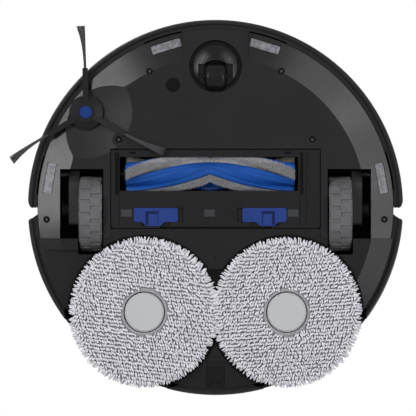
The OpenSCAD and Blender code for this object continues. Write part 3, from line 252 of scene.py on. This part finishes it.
MOP_EDGE = yarn("mop_binding", (0.34, 0.34, 0.36), dark=0.8, fine_scale=2600.0)

LOOKS = {
    "front_underpan": BLACK, "rear_underpan": BLACK_REAR, "rear_shell": BUMPER,
    "upper_deck": BLACK, "wheel_housings": INNER, "wheel_pivot_pins": SPRING,
    "brush_housing": INNER, "roller_bearing": INNER, "brush_motor": MOTOR,
    "brush_gearbox": HUB_GREY, "side_brush_motor": MOTOR, "suction_fan": INNER,
    "battery": BATTERY, "circuit_boards": BOARD, "bumper_switches": INNER,
    "bumper_springs": STEEL, "cliff_windows": LENS, "carpet_sensor": SENSOR,
    "underside_screws": SCREW, "charging_contacts": CONTACT, "dock_port": PORT,
    "water_tank": TANK, "mop_lift_motor": MOTOR, "lidar_base": INNER,
    "lidar_cover": BLACK, "lidar_window": GLOSS, "bumper": BUMPER, "bumper_window": GLOSS,
    "left_wheel_arm": ARM, "right_wheel_arm": ARM, "left_wheel_spring": SPRING,
    "right_wheel_spring": SPRING, "left_wheel_hub": HUB_GREY, "right_wheel_hub": HUB_GREY,
    "left_tyre": TYRE, "right_tyre": TYRE, "caster_fork": CASTER, "caster_axle": CASTER,
    "caster_wheel": CASTER, "side_brush_hub": HOLDER, "side_brush_cap": CAP_BLUE,
    "roller_core": INNER, "brush_guard": GUARD, "guard_pads": GREY,
    "left_latch": LATCH, "right_latch": LATCH, "mop_carriage": INNER,
    "left_mop_plate": MOP_WHITE, "right_mop_plate": MOP_WHITE, "lidar_rotor": HUB_GREY,
    "top_cover": BLACK, "dust_bin": BIN, "bin_filter": FILTER, "power_button": GREY,
    "home_button": GREY,
}
# Width in millimetres of each node's rounded edges
ROUNDED = {
    "front_underpan": 0.5, "rear_underpan": 0.5, "rear_shell": 0.4, "bumper": 0.4,
    "brush_guard": 0.3, "left_latch": 0.35, "right_latch": 0.35, "guard_pads": 0.15,
    "left_wheel_arm": 0.8, "right_wheel_arm": 0.8, "left_tyre": 0.3, "right_tyre": 0.3,
    "side_brush_hub": 0.5, "caster_fork": 0.5, "wheel_housings": 0.4, "top_cover": 0.2,
    "dust_bin": 0.5, "battery": 0.5, "brush_housing": 0.3, "dock_port": 0.3,
    "mop_carriage": 0.5, "suction_fan": 0.4, "lidar_rotor": 0.4,
}
ROUNDED_ANGLE = 35          # degrees between faces, from which an edge is rounded

DISH_REACH = 45 * MM        # from the side brush's axis to the dish's outermost faces
DISH_SLOPE = -0.3           # the upright part of a face's normal, at its steepest


def dress_cad_nodes():
    for name, material in LOOKS.items():
        node = nodes[name]
        node.data.materials.clear()
        node.data.materials.append(material)
        width = ROUNDED.get(name)
        if width:
            bevel = node.modifiers.new("edges", "BEVEL")
            bevel.width = width * MM
            bevel.segments = 2
            bevel.limit_method = "ANGLE"
            bevel.angle_limit = math.radians(ROUNDED_ANGLE)


def dull_dish():
    """The side brush's dished recess is matt, unlike the glossy pan round it."""
    low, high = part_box("side_brush_cap")
    x, y = centre(low, high)
    mesh = nodes["front_underpan"].data
    bottom = min(v.co[2] for v in mesh.vertices)
    mesh.materials.append(DISH)
    for face in mesh.polygons:
        away = Vector((face.center[0] - x, face.center[1] - y, 0.0))
        near = away.length < DISH_REACH
        hollow = face.normal[2] < DISH_SLOPE and face.center[2] > bottom
        inward = away.length < 1 * MM or away.normalized().dot(face.normal) < 1e-4
        if near and hollow and inward:
            face.material_index = 1


# ---------------------------------------------------------------- meshes

def piece(name, vertices, faces, material, body, slot, smooth=True):
    """A new visible piece from plain lists, riding on a CAD body."""
    mesh = bpy.data.meshes.new(name)
    mesh.from_pydata([tuple(v) for v in vertices], [], faces)
    mesh.validate()
    mesh.update()
    if smooth:
        mesh.polygons.foreach_set("use_smooth", [True] * len(mesh.polygons))
    obj = bpy.data.objects.new(name, mesh)
    bpy.context.scene.collection.objects.link(obj)
    mesh.materials.append(material)
    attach(obj, body)
    return obj


class Strands:
    """Collects many thin bent tubes, each closed by a flat face at both ends."""

    def __init__(self, sides):
        self.sides = sides
        self.vertices = []
        self.faces = []

    def add(self, points, radii):
        points = [Vector(p) for p in points]
        start = len(self.vertices)
        n = len(points)
        side = None
        for i, p in enumerate(points):
            along = (points[min(i + 1, n - 1)] - points[max(i - 1, 0)]).normalized()
            if side is None:
                side = along.orthogonal().normalized()
            side = (side - along * side.dot(along)).normalized()
            other = along.cross(side)
            for k in range(self.sides):
                a = 2 * math.pi * k / self.sides
                self.vertices.append(p + radii[i] * (math.cos(a) * side + math.sin(a) * other))
        for i in range(n - 1):
            for k in range(self.sides):
                a = start + i * self.sides + k
                b = start + i * self.sides + (k + 1) % self.sides
                self.faces.append((a, b, b + self.sides, a + self.sides))
        self.faces.append(tuple(start + k for k in reversed(range(self.sides))))
        self.faces.append(tuple(start + (n - 1) * self.sides + k for k in range(self.sides)))


def lathe(profile, middle, steps):
    """Closed ring from a closed profile of (r, z) points about an upright axis."""
    vertices = []
    faces = []
    count = len(profile)
    for i in range(steps):
        a = 2 * math.pi * i / steps
        for r, z in profile:
            vertices.append((middle[0] + r * math.cos(a), middle[1] + r * math.sin(a), z))
    for i in range(steps):
        j = (i + 1) % steps
        for k in range(count):
            n = (k + 1) % count
            faces.append((i * count + k, j * count + k, j * count + n, i * count + n))
    return vertices, faces


# ---------------------------------------------------------------- mop pads

PAD_BORE = 19.2 * MM        # radius of the hole for the centre cap
PILE_START = 2.9 * MM       # from the bore to the first noodles
PILE_ROOT = 3.6 * MM        # height over the floor
PILE_EDGE = 6 * MM          # width of the outer zone, where the noodles turn outwards
NOODLE_ROW = 3.3 * MM
NOODLE_STEP = 2.3 * MM
NOODLE_R = 1.0 * MM
NOODLE_LEAN = (62, 40)      # degrees from +X, on even and on odd rows
NOODLE_THICKNESS = (0.7, 0.95, 1.0, 0.9, 0.35)
FRINGE_COUNT = 330
FRINGE_INSET = 1.6 * MM
FRINGE_WAY = (0.0, 0.35, 0.7, 0.92, 1.0)
FRINGE_THICKNESS = (1.0, 1.0, 0.9, 0.65, 0.25)


def cloth_profile(rim, top):
    """(r, z) round the cloth's section: bound inner edge, sole, round rim, flat back."""
    return [
        (PAD_BORE, 2.6 * MM), (PAD_BORE + 0.5 * MM, 1.9 * MM), (PAD_BORE + 1.6 * MM, 1.8 * MM),
        (PAD_BORE + 2.4 * MM, 2.6 * MM), (PAD_BORE + 3.0 * MM, 3.6 * MM),
        (rim - 4 * MM, 3.8 * MM), (rim - 1.2 * MM, 4.8 * MM), (rim, 6.6 * MM),
        (rim - 0.8 * MM, 8.6 * MM), (rim - 2.6 * MM, top), (PAD_BORE, top)]


def noodle_heading(rng, side, seed, turn, row, x, y, out):
    """The (x, y) direction of a noodle: its row's lean, in patches, or away from the axis."""
    patch = math.sin(x * 60 + 1.7 * seed) + math.sin(y * 75 + x * 40 + seed)
    lean = math.radians(NOODLE_LEAN[row % 2] + 13 * patch + rng.normal(0, 17))
    if side == "right":
        lean = math.pi - 1.2 * lean
    lean += turn
    radial = math.atan2(y, x) + rng.normal(0, 0.35)
    dx = (1 - out) * math.cos(lean) + out * math.cos(radial)
    dy = (1 - out) * math.sin(lean) + out * math.sin(radial)
    size = math.hypot(dx, dy) + 1e-9
    return dx / size, dy / size


def mop_noodles(rng, side, seed, middle, rim):
    """Short noodles in rows across the whole pad, which stand out further near its rim."""
    pile = Strands(sides=6)
    turn = rng.uniform(-0.06, 0.06) + (0.16 if side == "left" else -0.08)
    c, s = math.cos(turn), math.sin(turn)
    reach = rim + 2.2 * MM
    rows = int(2 * reach / NOODLE_ROW) + 2
    columns = int(2 * reach / NOODLE_STEP) + 2
    for i in range(rows):
        for j in range(columns):
            across = (j + 0.5 * (i % 2)) * NOODLE_STEP - reach + rng.normal(0, 0.25) * MM
            up = i * NOODLE_ROW - reach + rng.normal(0, 0.38) * MM
            x, y = c * across - s * up, s * across + c * up
            r = math.hypot(x, y)
            if r < PAD_BORE + PILE_START or r > rim + 0.2 * MM:
                continue
            out = share((r - rim + PILE_EDGE) / PILE_EDGE)
            dx, dy = noodle_heading(rng, side, seed, turn, i, x, y, out)
            length = (2.3 + 0.45 * rng.normal()) * MM + out * 1.3 * MM
            root = PILE_ROOT + out * 1.2 * MM
            tip = max(0.75, 1.0 + 0.45 * rng.normal() + 1.6 * out) * MM
            spine = ((-0.45, root + 0.6 * MM), (-0.3, (root + tip) / 2), (0.1, tip),
                     (0.62, tip + 0.05 * MM), (0.86, tip + 0.4 * MM))
            thick = NOODLE_R * rng.uniform(0.85, 1.12)
            pile.add([(middle[0] + x + dx * length * way, middle[1] + y + dy * length * way, z)
                      for way, z in spine],
                     [part * thick for part in NOODLE_THICKNESS])
    return pile


def mop_threads(rng, middle, rim):
    """Loose threads that stick out all round the rim."""
    edge = Strands(sides=6)
    for i in range(FRINGE_COUNT):
        a = 2 * math.pi * (i + rng.uniform(-0.4, 0.4)) / FRINGE_COUNT
        z = (3.2 + 3.8 * rng.random()) * MM
        reach = (3.4 + 2.0 * rng.random()) * MM + FRINGE_INSET
        swing = rng.normal(0, 0.28)
        droop = rng.uniform(-1.2, 0.6) * MM
        r = rim - FRINGE_INSET
        root = Vector((middle[0] + r * math.cos(a), middle[1] + r * math.sin(a), z))
        away = Vector((math.cos(a + swing), math.sin(a + swing), 0))
        thick = NOODLE_R * rng.uniform(0.75, 1.0)
        edge.add([root + away * (way * reach) + Vector((0, 0, droop * way * way))
                  for way in FRINGE_WAY],
                 [part * thick for part in FRINGE_THICKNESS])
    return edge


def mop_pad(side, seed):
    """Chenille pad: cloth disc with a bound inner edge, rows of short noodles and a fringe."""
    rng = np.random.default_rng(seed)
    low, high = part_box(f"{side}_mop_pad")
    middle = centre(low, high)
    rim = (high[0] - low[0]) / 2
    body = f"{side}_mop"

    ring = lathe(cloth_profile(rim, high[2]), middle, steps=128)
    cloth = piece(f"{side}_mop_cloth", *ring, MOP_EDGE, body, "mop_cloth")
    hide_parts(f"{side}_mop_pad")

    pile = mop_noodles(rng, side, seed, middle, rim)
    noodles = piece(f"{side}_mop_pile", pile.vertices, pile.faces, CHENILLE, body, "mop_cloth")

    edge = mop_threads(rng, middle, rim)
    fringe = piece(f"{side}_mop_fringe", edge.vertices, edge.faces, CHENILLE, body, "mop_cloth")


# ---------------------------------------------------------------- side brush

BUNDLE_ROOT = 39.5 * MM
BUNDLE_TIPS = (82.0 * MM, 82.2 * MM, 80.0 * MM)
BUNDLE_TURN = 29.1          # degrees from +X to the first bundle
BUNDLE_SWEEP = -2.3         # degrees by which the tips lie off the bundle's line
BUNDLE_FIBRES = 150
FIBRE_WAY = (0.0, 0.18, 0.38, 0.58, 0.78, 1.0)
FIBRE_R = 0.16 * MM
FIBRE_TIP_R = 0.1 * MM
FIBRE_LOWEST = 0.35 * MM


def fibre_height(way, layer):
    """Height over the floor at a share of the way out: it bends down to lie on the floor."""
    fall = 0.5 - 0.5 * math.cos(math.pi * min(1.0, way / 0.55))
    z = (7.4 - 6.75 * fall + layer * (0.55 - 0.3 * way)) * MM
    return max(z, FIBRE_LOWEST)


def side_bristles():
    """Three flared bundles of nylon fibres that bend down to the floor."""
    rng = np.random.default_rng(5)
    low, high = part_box("side_brush_cap")
    hub = centre(low, high)
    strands = Strands(sides=4)
    sweep = math.radians(BUNDLE_SWEEP)
    for spoke, tip in enumerate(BUNDLE_TIPS):
        turn = math.radians(BUNDLE_TURN + 120 * spoke)
        for _ in range(BUNDLE_FIBRES):
            across = rng.uniform(-1, 1)
            layer = rng.uniform(-1, 1)
            end = tip - abs(rng.normal(0, 0.5)) * MM
            points = []
            for way in FIBRE_WAY:
                r = BUNDLE_ROOT + (end - BUNDLE_ROOT) * way
                flare = (1.05 + 2.8 * way ** 2.4) * MM
                side = across * flare
                a = turn + sweep * way * way
                points.append((
                    hub[0] + r * math.cos(a) - side * math.sin(a),
                    hub[1] + r * math.sin(a) + side * math.cos(a), fibre_height(way, layer)))
            strands.add(points, [FIBRE_R] * 5 + [FIBRE_TIP_R])
    obj = piece("side_brush_fibres", strands.vertices, strands.faces, FIBRE, "side_brush",
                "bristle")
    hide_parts("side_brush_bristles")


# ---------------------------------------------------------------- roller

# The roller's strips wind from its middle to both ends, as a V, three times round it.
# Degrees count from straight down towards the rear. The share of the way from the middle
# to an end is u.
FIN_TURN = 110.0            # degrees by which a strip winds from the middle to an end
FIN_EDGE = -20.0            # degrees to the tall fin's leaning edge
STRIP = (3.5, 31.5)         # degrees that a bristle strip takes
FIN_DEPTH = 4.8 * MM        # from a fin's edge to the sleeve
SLEEVE_WALL = 0.75 * MM
HAIR_DEPTH = 4.7 * MM       # from a fin's edge to the roots of the bristles
BASE_DEPTH = 4.9 * MM       # from a fin's edge to the foot of a strip's dense core
BASE_HEIGHT = 0.72          # share of the bristles' length
NOTCH_LOW = 0.72            # share of their length that the bristles have at the middle
NOTCH_REACH = 6 * MM


def roller_place():
    """The roller's axis, its strips' middle and half length, and its two outer radii."""
    low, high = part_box("roller_core")
    fins_low, fins_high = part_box("roller_fins")
    hair_low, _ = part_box("roller_bristles")
    axis = Vector((0, (low[1] + high[1]) / 2, (low[2] + high[2]) / 2))
    middle = (fins_low[0] + fins_high[0]) / 2
    half = (fins_high[0] - fins_low[0]) / 2
    return axis, middle, half, axis[2] - fins_low[2], axis[2] - hair_low[2]


def roller_point(axis, x, r, degrees):
    a = math.radians(degrees)
    return (x, axis[1] + r * math.sin(a), axis[2] - r * math.cos(a))


def fin_profile(u, sleeve, high):
    """(degrees, radius) round a third of the roller: leaning fin, bare strip, ridge, hollow."""
    edge = FIN_EDGE
    step = high - sleeve
    ridge = (0.1 + 1.9 * u * (1 - u)) * MM
    return [
        (edge + 9, sleeve), (edge + 5, sleeve + 0.1 * step), (edge + 2, sleeve + 0.36 * step),
        (edge + 0.4, sleeve + 0.7 * step), (edge, sleeve + 0.9 * step), (edge + 1.2, high),
        (edge + 5, high), (-12, high - 0.05 * MM), (-6, high - 0.2 * MM),
        (-1, high - 0.6 * MM), (1.4, sleeve + 0.72 * step), (2.4, sleeve + 0.4 * step),
        (3.0, sleeve), (10, sleeve), (20, sleeve), (31, sleeve),
        (32.4, sleeve), (33.0, sleeve + 0.6 * ridge), (34.4, sleeve + 0.94 * ridge),
        (38, sleeve + ridge), (43, sleeve + ridge), (48, sleeve + 0.95 * ridge),
        (53, sleeve + 0.82 * ridge), (56, sleeve + 0.6 * ridge), (57, sleeve + 0.3 * ridge),
        (57.4, sleeve), (62, sleeve), (67, sleeve + 0.35 * MM), (72, sleeve + 0.45 * MM),
        (77, sleeve + 0.15 * MM), (82, sleeve)]


def roller_fins():
    """The roller's rubber: a sleeve with three leaning fins and three low ridges."""
    axis, middle, half, high, _ = roller_place()
    sleeve = high - FIN_DEPTH
    bore = sleeve - SLEEVE_WALL
    vertices = []
    faces = []
    steps = 96
    for i in range(steps + 1):
        u = 2 * i / steps - 1
        ring = [(120 * copy + degrees, r) for copy in range(3)
                for degrees, r in fin_profile(abs(u), sleeve, high)]
        for degrees, r in ring + [(degrees, bore) for degrees, _ in ring]:
            vertices.append(roller_point(
                axis, middle + u * half, r, degrees + FIN_TURN * abs(u)))
    count = len(ring)
    row = 2 * count
    for i in range(steps):
        for k in range(count):
            n = (k + 1) % count
            a, b = i * row + k, i * row + n
            faces.append((a, a + row, b + row, b))
            a, b = a + count, b + count
            faces.append((a, b, b + row, a + row))
    last = steps * row
    for k in range(count):
        n = (k + 1) % count
        faces.append((k, n, count + n, count + k))
        faces.append((last + k, last + count + k, last + count + n, last + n))
    fins = piece("roller_blades", vertices, faces, ROLLER_BLUE, "roller_brush", "roller_blue")
    fins.data.set_sharp_from_angle(angle=math.radians(40))
    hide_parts("roller_fins")


def lean_back(u):
    """How many degrees the bristle tips of a strip's front edge trail behind their roots."""
    return -1.5 - 12.5 * ease((u - 0.35) / 0.25) + 4.0 * max(0.0, u - 0.85) / 0.15


def notch(distance):
    """How long the bristles are, as a share, near the middle where the two halves meet."""
    return NOTCH_LOW + (1 - NOTCH_LOW) * ease(distance / NOTCH_REACH)


def full_length(u):
    """Length of the grey bristles, as a share: the same all along a strip."""
    return 1.0


def rising(u):
    """Length of the tan edge threads, as a share: roots in the middle, long near the ends."""
    return 0.2 + 0.78 * ease((u - 0.4) / 0.25)


def roller_hair(rng, strands, rows, across, span, thick, length):
    """Bristles in rows along each strip, and in columns across a span of its width."""
    axis, middle, half, fin, hair = roller_place()
    root = fin - HAIR_DEPTH
    for copy in range(3):
        for direction in (-1, 1):
            end = middle + direction * half
            for i in range(rows):
                for j in range(across):
                    u = (i + rng.random()) / rows
                    part = span[0] + (span[1] - span[0]) * (j + rng.random()) / across
                    x = middle + direction * u * half
                    degrees = STRIP[0] + (STRIP[1] - STRIP[0]) * part
                    degrees += 120 * copy + FIN_TURN * u
                    lean = lean_back(u) * (1 - 0.8 * part) + rng.normal(0, 1.3)
                    tip = root + length(u) * (hair - root) * notch(u * half)
                    tip -= abs(rng.normal(0, 0.25)) * MM
                    tip_x = x + rng.normal(0, 0.35) * MM
                    tip_x = min(max(tip_x, min(middle, end)), max(middle, end))
                    strands.add([
                        roller_point(axis, x, root, degrees),
                        roller_point(axis, (x + tip_x) / 2, (root + tip) / 2,
                                     degrees + 0.3 * lean),
                        roller_point(axis, tip_x, tip, degrees + lean)],
                        [thick, 0.92 * thick, 0.75 * thick])


def roller_bristles():
    """Grey bristles, and a line of tan threads along the rear edge of each strip."""
    rng = np.random.default_rng(9)
    strands = Strands(sides=3)
    roller_hair(rng, strands, rows=150, across=12, span=(0.0, 1.0), thick=0.25 * MM,
                length=full_length)
    obj = piece("roller_fibres", strands.vertices, strands.faces, ROLLER_GREY, "roller_brush",
                "roller_grey", smooth=False)
    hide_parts("roller_bristles")

    edge = Strands(sides=3)
    roller_hair(rng, edge, rows=170, across=1, span=(0.99, 1.04), thick=0.3 * MM,
                length=rising)
    piece("roller_strip_edge", edge.vertices, edge.faces, ROLLER_TAN, "roller_brush",
          "roller_grey", smooth=False)


def roller_cores():
    """The dense core of each bristle strip, so that no gap shows between its bristles."""
    axis, middle, half, fin, hair = roller_place()
    root = fin - BASE_DEPTH
    vertices = []
    faces = []
    steps = 40
    for copy in range(3):
        for direction in (-1, 1):
            first = len(vertices)
            for i in range(steps + 1):
                u = i / steps
                turn = 120 * copy + FIN_TURN * u
                lean = lean_back(u)
                top = root + (hair - root) * notch(u * half) * BASE_HEIGHT
                section = [(4.5, root), (4.2 + 0.5 * lean, (root + top) / 2),
                           (4.5 + 0.75 * lean, top), (17, top), (29.5 + 0.1 * lean, top),
                           (30.3, root)]
                for degrees, r in section:
                    vertices.append(roller_point(
                        axis, middle + direction * u * half * 0.998, r, degrees + turn))
            m = len(section)
            skin = [(first + i * m + k, first + (i + 1) * m + k,
                     first + (i + 1) * m + (k + 1) % m, first + i * m + (k + 1) % m)
                    for i in range(steps) for k in range(m)]
            skin.append(tuple(first + k for k in range(m)))
            skin.append(tuple(first + steps * m + k for k in reversed(range(m))))
            faces += skin if direction > 0 else [tuple(reversed(face)) for face in skin]
    piece("roller_strip_base", vertices, faces, ROLLER_ROOT, "roller_brush", "roller_grey",
          smooth=False)


# ---------------------------------------------------------------- small pieces

def slab(name, low, high, material, body, slot):
    """Thin plate with rounded edges between two corners."""
    mesh = bmesh.new()
    bmesh.ops.create_cube(mesh, size=1.0)
    for v in mesh.verts:
        v.co = Vector([low[i] if v.co[i] < 0 else high[i] for i in range(3)])
    bmesh.ops.bevel(mesh, geom=mesh.edges[:], offset=0.15 * MM, segments=2, affect="EDGES")
    mesh.verts.ensure_lookup_table()
    vertices = [v.co.copy() for v in mesh.verts]
    faces = [tuple(v.index for v in f.verts) for f in mesh.faces]
    mesh.free()
    return piece(name, vertices, faces, material, body, slot, smooth=False)


def islands(node):
    """The boxes of a CAD node's separate solids, as (low, high) pairs."""
    mesh = bmesh.new()
    mesh.from_mesh(nodes[node].data)
    bmesh.ops.remove_doubles(mesh, verts=mesh.verts[:], dist=0.001 * MM)
    seen = set()
    boxes = []
    for start in mesh.verts:
        if start in seen:
            continue
        stack = [start]
        seen.add(start)
        points = []
        while stack:
            v = stack.pop()
            points.append(v.co.copy())
            for e in v.link_edges:
                other = e.other_vert(v)
                if other not in seen:
                    seen.add(other)
                    stack.append(other)
        boxes.append(tuple(
            [pick(p[i] for p in points) for i in range(3)] for pick in (min, max)))
    mesh.free()
    return boxes


# Screw socket, in millimetres: its rings are its foot in the head, its outer edge, its inner
# edge and its bottom, each as (height over the head's lowest face, share of the radius)
SOCKET_R = 1.25
SOCKET_LOBES = 6
SOCKET_LOBE = 0.12
SOCKET_RINGS = ((0.3, 1.15), (-0.06, 1.0), (-0.06, 0.55), (0.2, 0.45))


def screw_sockets():
    """A small worn star socket in the middle of each screw head."""
    vertices = []
    faces = []
    count = 24
    for low, high in islands("underside_screws"):
        x, y = centre(low, high)
        first = len(vertices)
        for z, grow in SOCKET_RINGS:
            for k in range(count):
                a = 2 * math.pi * k / count
                r = (SOCKET_R + SOCKET_LOBE * math.cos(SOCKET_LOBES * a)) * grow * MM
                vertices.append((x + r * math.cos(a), y + r * math.sin(a), low[2] + z * MM))
        rings = len(SOCKET_RINGS) - 1
        for ring in range(rings):
            for k in range(count):
                n = (k + 1) % count
                i, j = first + ring * count, first + (ring + 1) * count
                faces.append((i + k, j + k, j + n, i + n))
        faces.append(tuple(first + rings * count + k for k in range(count)))
        faces.append(tuple(first + k for k in reversed(range(count))))
    piece("screw_sockets", vertices, faces, SOCKET, "vacuum_body", "steel", smooth=False)


# Painted shade in the guard's two grooves: where its dark slabs lie
SHADE_STRIP_FRONT = 3.05 * MM    # from the guard's front edge
SHADE_STRIP_REAR = -11.8 * MM
SHADE_STRIP_RISE = (0.45 * MM, 0.75 * MM)


def paint_guard_groove_shade():
    """Painted shade: dark slabs in the two grooves beside the guard's window, where shade falls.
    """
    low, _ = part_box("brush_guard")
    fins_low, fins_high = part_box("roller_fins")
    for name, x0, x1 in (("left", fins_low[0] - 9.9 * MM, fins_low[0] - 6.6 * MM),
                         ("right", fins_high[0] + 5.8 * MM, fins_high[0] + 8.0 * MM)):
        # Painted shade: each dark slab stands for the shade on a groove's floor
        slab(f"guard_groove_shade_{name}", (x0, low[1] + SHADE_STRIP_FRONT, low[2] + SHADE_STRIP_RISE[0]),
             (x1, SHADE_STRIP_REAR, low[2] + SHADE_STRIP_RISE[1]), SENSOR, "guard", "shell")


POCKET_Y = (3.7 * MM, 16.0 * MM)
POCKET_LENGTH = 11.8 * MM
POCKET_SHADE = 2.4 * MM     # width of the painted shade on the wall
POCKET_RISE = (1.2 * MM, 1.55 * MM)


def latch_pockets():
    """Painted shade on each latch's finger pocket: dark blue slabs on its front wall and its outer
    wall, where shade falls.
    """
    y0, y1 = POCKET_Y
    for side, start in (("left", 11.1 * MM), ("right", 18.1 * MM)):
        low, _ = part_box(f"{side}_latch")
        z0, z1 = low[2] + POCKET_RISE[0], low[2] + POCKET_RISE[1]
        x0 = low[0] + start
        x1 = x0 + POCKET_LENGTH
        if side == "left":
            split = x0 + POCKET_SHADE
            outer, rest = (x0, split), (split, x1)
        else:
            split = x1 - POCKET_SHADE
            outer, rest = (split, x1), (x0, split)
        body = f"{side}_latch_slider"
        # Painted shade: these slabs darken the pocket's front and outer walls
        slab(f"{side}_latch_shade_side", (outer[0], y0, z0), (outer[1], y1, z1), POCKET_SHADE_PAINT, body,
             "blue_plastic")
        slab(f"{side}_latch_shade_front", (rest[0], y0, z0), (rest[1], y0 + POCKET_SHADE, z1),
             POCKET_SHADE_PAINT, body, "blue_plastic")


# ---------------------------------------------------------------- scene

CAMERA_DISTANCE = 2.86
CAMERA_FILM = 36.0
PICTURE_WIDTH = 0.387
PICTURE_MIDDLE = (-0.0070, 0.0005, 0.0105)

AMBIENT = 0.18
AMBIENT_COLOR = (0.95, 0.97, 1.0, 1)
LAMP_TARGET = (0, 0, 0.02)
LOW_LAMP_AWAY = 1.5
LOW_LAMP_SIZE = (0.5, 0.26)
# Azimuth, then tilt from straight down, in degrees, and power in watts
LOW_LAMPS = (
    ("left", 189, 36, 7.7), ("front_left", 223, 36, 5.8), ("front_right", 313, 36, 2.6),
    ("right", 337, 36, 2.7), ("right_end", 4, 36, 2.9), ("rear_right", 20, 44, 2.4))
HIGH_LAMP_SIZE = (1.2, 1.2)
HIGH_LAMPS = (("key_high", (-0.9, -1.1, 1.5), 24.0), ("fill_high", (1.2, 0.9, 1.3), 14.0))


def build_world():
    """Dim light from all round. The camera and reflections see white in its place."""
    world = bpy.data.worlds.new("studio")
    bpy.context.scene.world = world
    world.use_nodes = True
    tree = world.node_tree
    tree.nodes.clear()
    out = tree.nodes.new("ShaderNodeOutputWorld")
    light = tree.nodes.new("ShaderNodeBackground")
    light.inputs["Color"].default_value = AMBIENT_COLOR
    light.inputs["Strength"].default_value = AMBIENT
    white = tree.nodes.new("ShaderNodeBackground")
    white.inputs["Color"].default_value = (1, 1, 1, 1)
    white.inputs["Strength"].default_value = 1.0
    rays = tree.nodes.new("ShaderNodeLightPath")
    seen = tree.nodes.new("ShaderNodeMath")
    seen.operation = "MAXIMUM"
    seen_or_through = tree.nodes.new("ShaderNodeMath")
    seen_or_through.operation = "MAXIMUM"
    mix = tree.nodes.new("ShaderNodeMixShader")
    join = tree.links.new
    join(rays.outputs["Is Camera Ray"], seen.inputs[0])
    join(rays.outputs["Is Glossy Ray"], seen.inputs[1])
    join(seen.outputs[0], seen_or_through.inputs[0])
    join(rays.outputs["Is Transmission Ray"], seen_or_through.inputs[1])
    join(seen_or_through.outputs[0], mix.inputs["Fac"])
    join(light.outputs[0], mix.inputs[1])
    join(white.outputs[0], mix.inputs[2])
    join(mix.outputs[0], out.inputs["Surface"])


def build_floor():
    """Pale floor that is clear from below, because the camera looks up from there."""
    half = 3.0
    mesh = bpy.data.meshes.new("floor")
    mesh.from_pydata([(-half, -half, 0), (half, -half, 0), (half, half, 0), (-half, half, 0)],
                     [], [(0, 1, 2, 3)])
    floor = bpy.data.objects.new("floor", mesh)
    floor.location = (0, 0, -0.4 * MM)
    bpy.context.scene.collection.objects.link(floor)
    g = Graph("floor_pale")
    clouds = g.noise(3.0, detail=2.0)
    tint = g.ramp(clouds, [(0.3, (0.83, 0.83, 0.83)), (0.7, (0.85, 0.85, 0.85))])
    g.join(tint, "Color", g.shader, "Base Color")
    g.set(Roughness=0.7, Specular_IOR_Level=0.1)
    clear = g.add("ShaderNodeBsdfTransparent")
    facing = g.add("ShaderNodeNewGeometry")
    mix = g.add("ShaderNodeMixShader")
    g.join(facing, "Backfacing", mix, "Fac")
    g.tree.links.new(g.shader.outputs[0], mix.inputs[1])
    g.tree.links.new(clear.outputs[0], mix.inputs[2])
    g.join(mix, "Shader", g.out, "Surface")
    mesh.materials.append(g.material)
    floor.visible_diffuse = False
    floor.visible_glossy = False
    floor.visible_transmission = False
    floor.visible_shadow = False


def build_camera():
    """Camera below the floor that looks straight up, with the front at the picture's top."""
    data = bpy.data.cameras.new("camera")
    camera = bpy.data.objects.new("camera", data)
    bpy.context.scene.collection.objects.link(camera)
    data.sensor_width = CAMERA_FILM
    data.lens = CAMERA_FILM * CAMERA_DISTANCE / PICTURE_WIDTH
    data.clip_end = 20.0
    x, y, z = PICTURE_MIDDLE
    camera.matrix_world = Matrix((
        (1, 0, 0, x), (0, -1, 0, y), (0, 0, -1, z - CAMERA_DISTANCE), (0, 0, 0, 1)))
    bpy.context.scene.camera = camera


def area_lamp(name, place, size, power):
    data = bpy.data.lights.new(name, "AREA")
    data.shape = "RECTANGLE"
    data.size, data.size_y = size
    data.energy = power
    lamp = bpy.data.objects.new(name, data)
    bpy.context.scene.collection.objects.link(lamp)
    lamp.location = place
    aim = Vector(LAMP_TARGET) - Vector(place)
    lamp.rotation_euler = aim.to_track_quat("-Z", "Y").to_euler()


def build_lamps():
    """Soft boxes below the object for its sloping rim, which leave its front and rear dark."""
    for name, azimuth, tilt, power in LOW_LAMPS:
        a = math.radians(azimuth)
        b = math.radians(tilt)
        away = LOW_LAMP_AWAY * math.sin(b)
        place = (away * math.cos(a), away * math.sin(a), -LOW_LAMP_AWAY * math.cos(b))
        area_lamp("low_" + name, place, LOW_LAMP_SIZE, power)
    for name, place, power in HIGH_LAMPS:
        area_lamp(name, place, HIGH_LAMP_SIZE, power)


build_world()
build_floor()
build_camera()
build_lamps()
dress_cad_nodes()
mop_pad("left", seed=11)
mop_pad("right", seed=23)
dull_dish()
side_bristles()
roller_fins()
roller_bristles()
roller_cores()
screw_sockets()
paint_guard_groove_shade()
latch_pockets()

bpy.context.scene.view_settings.view_transform = "Standard"
bpy.context.view_layer.update()
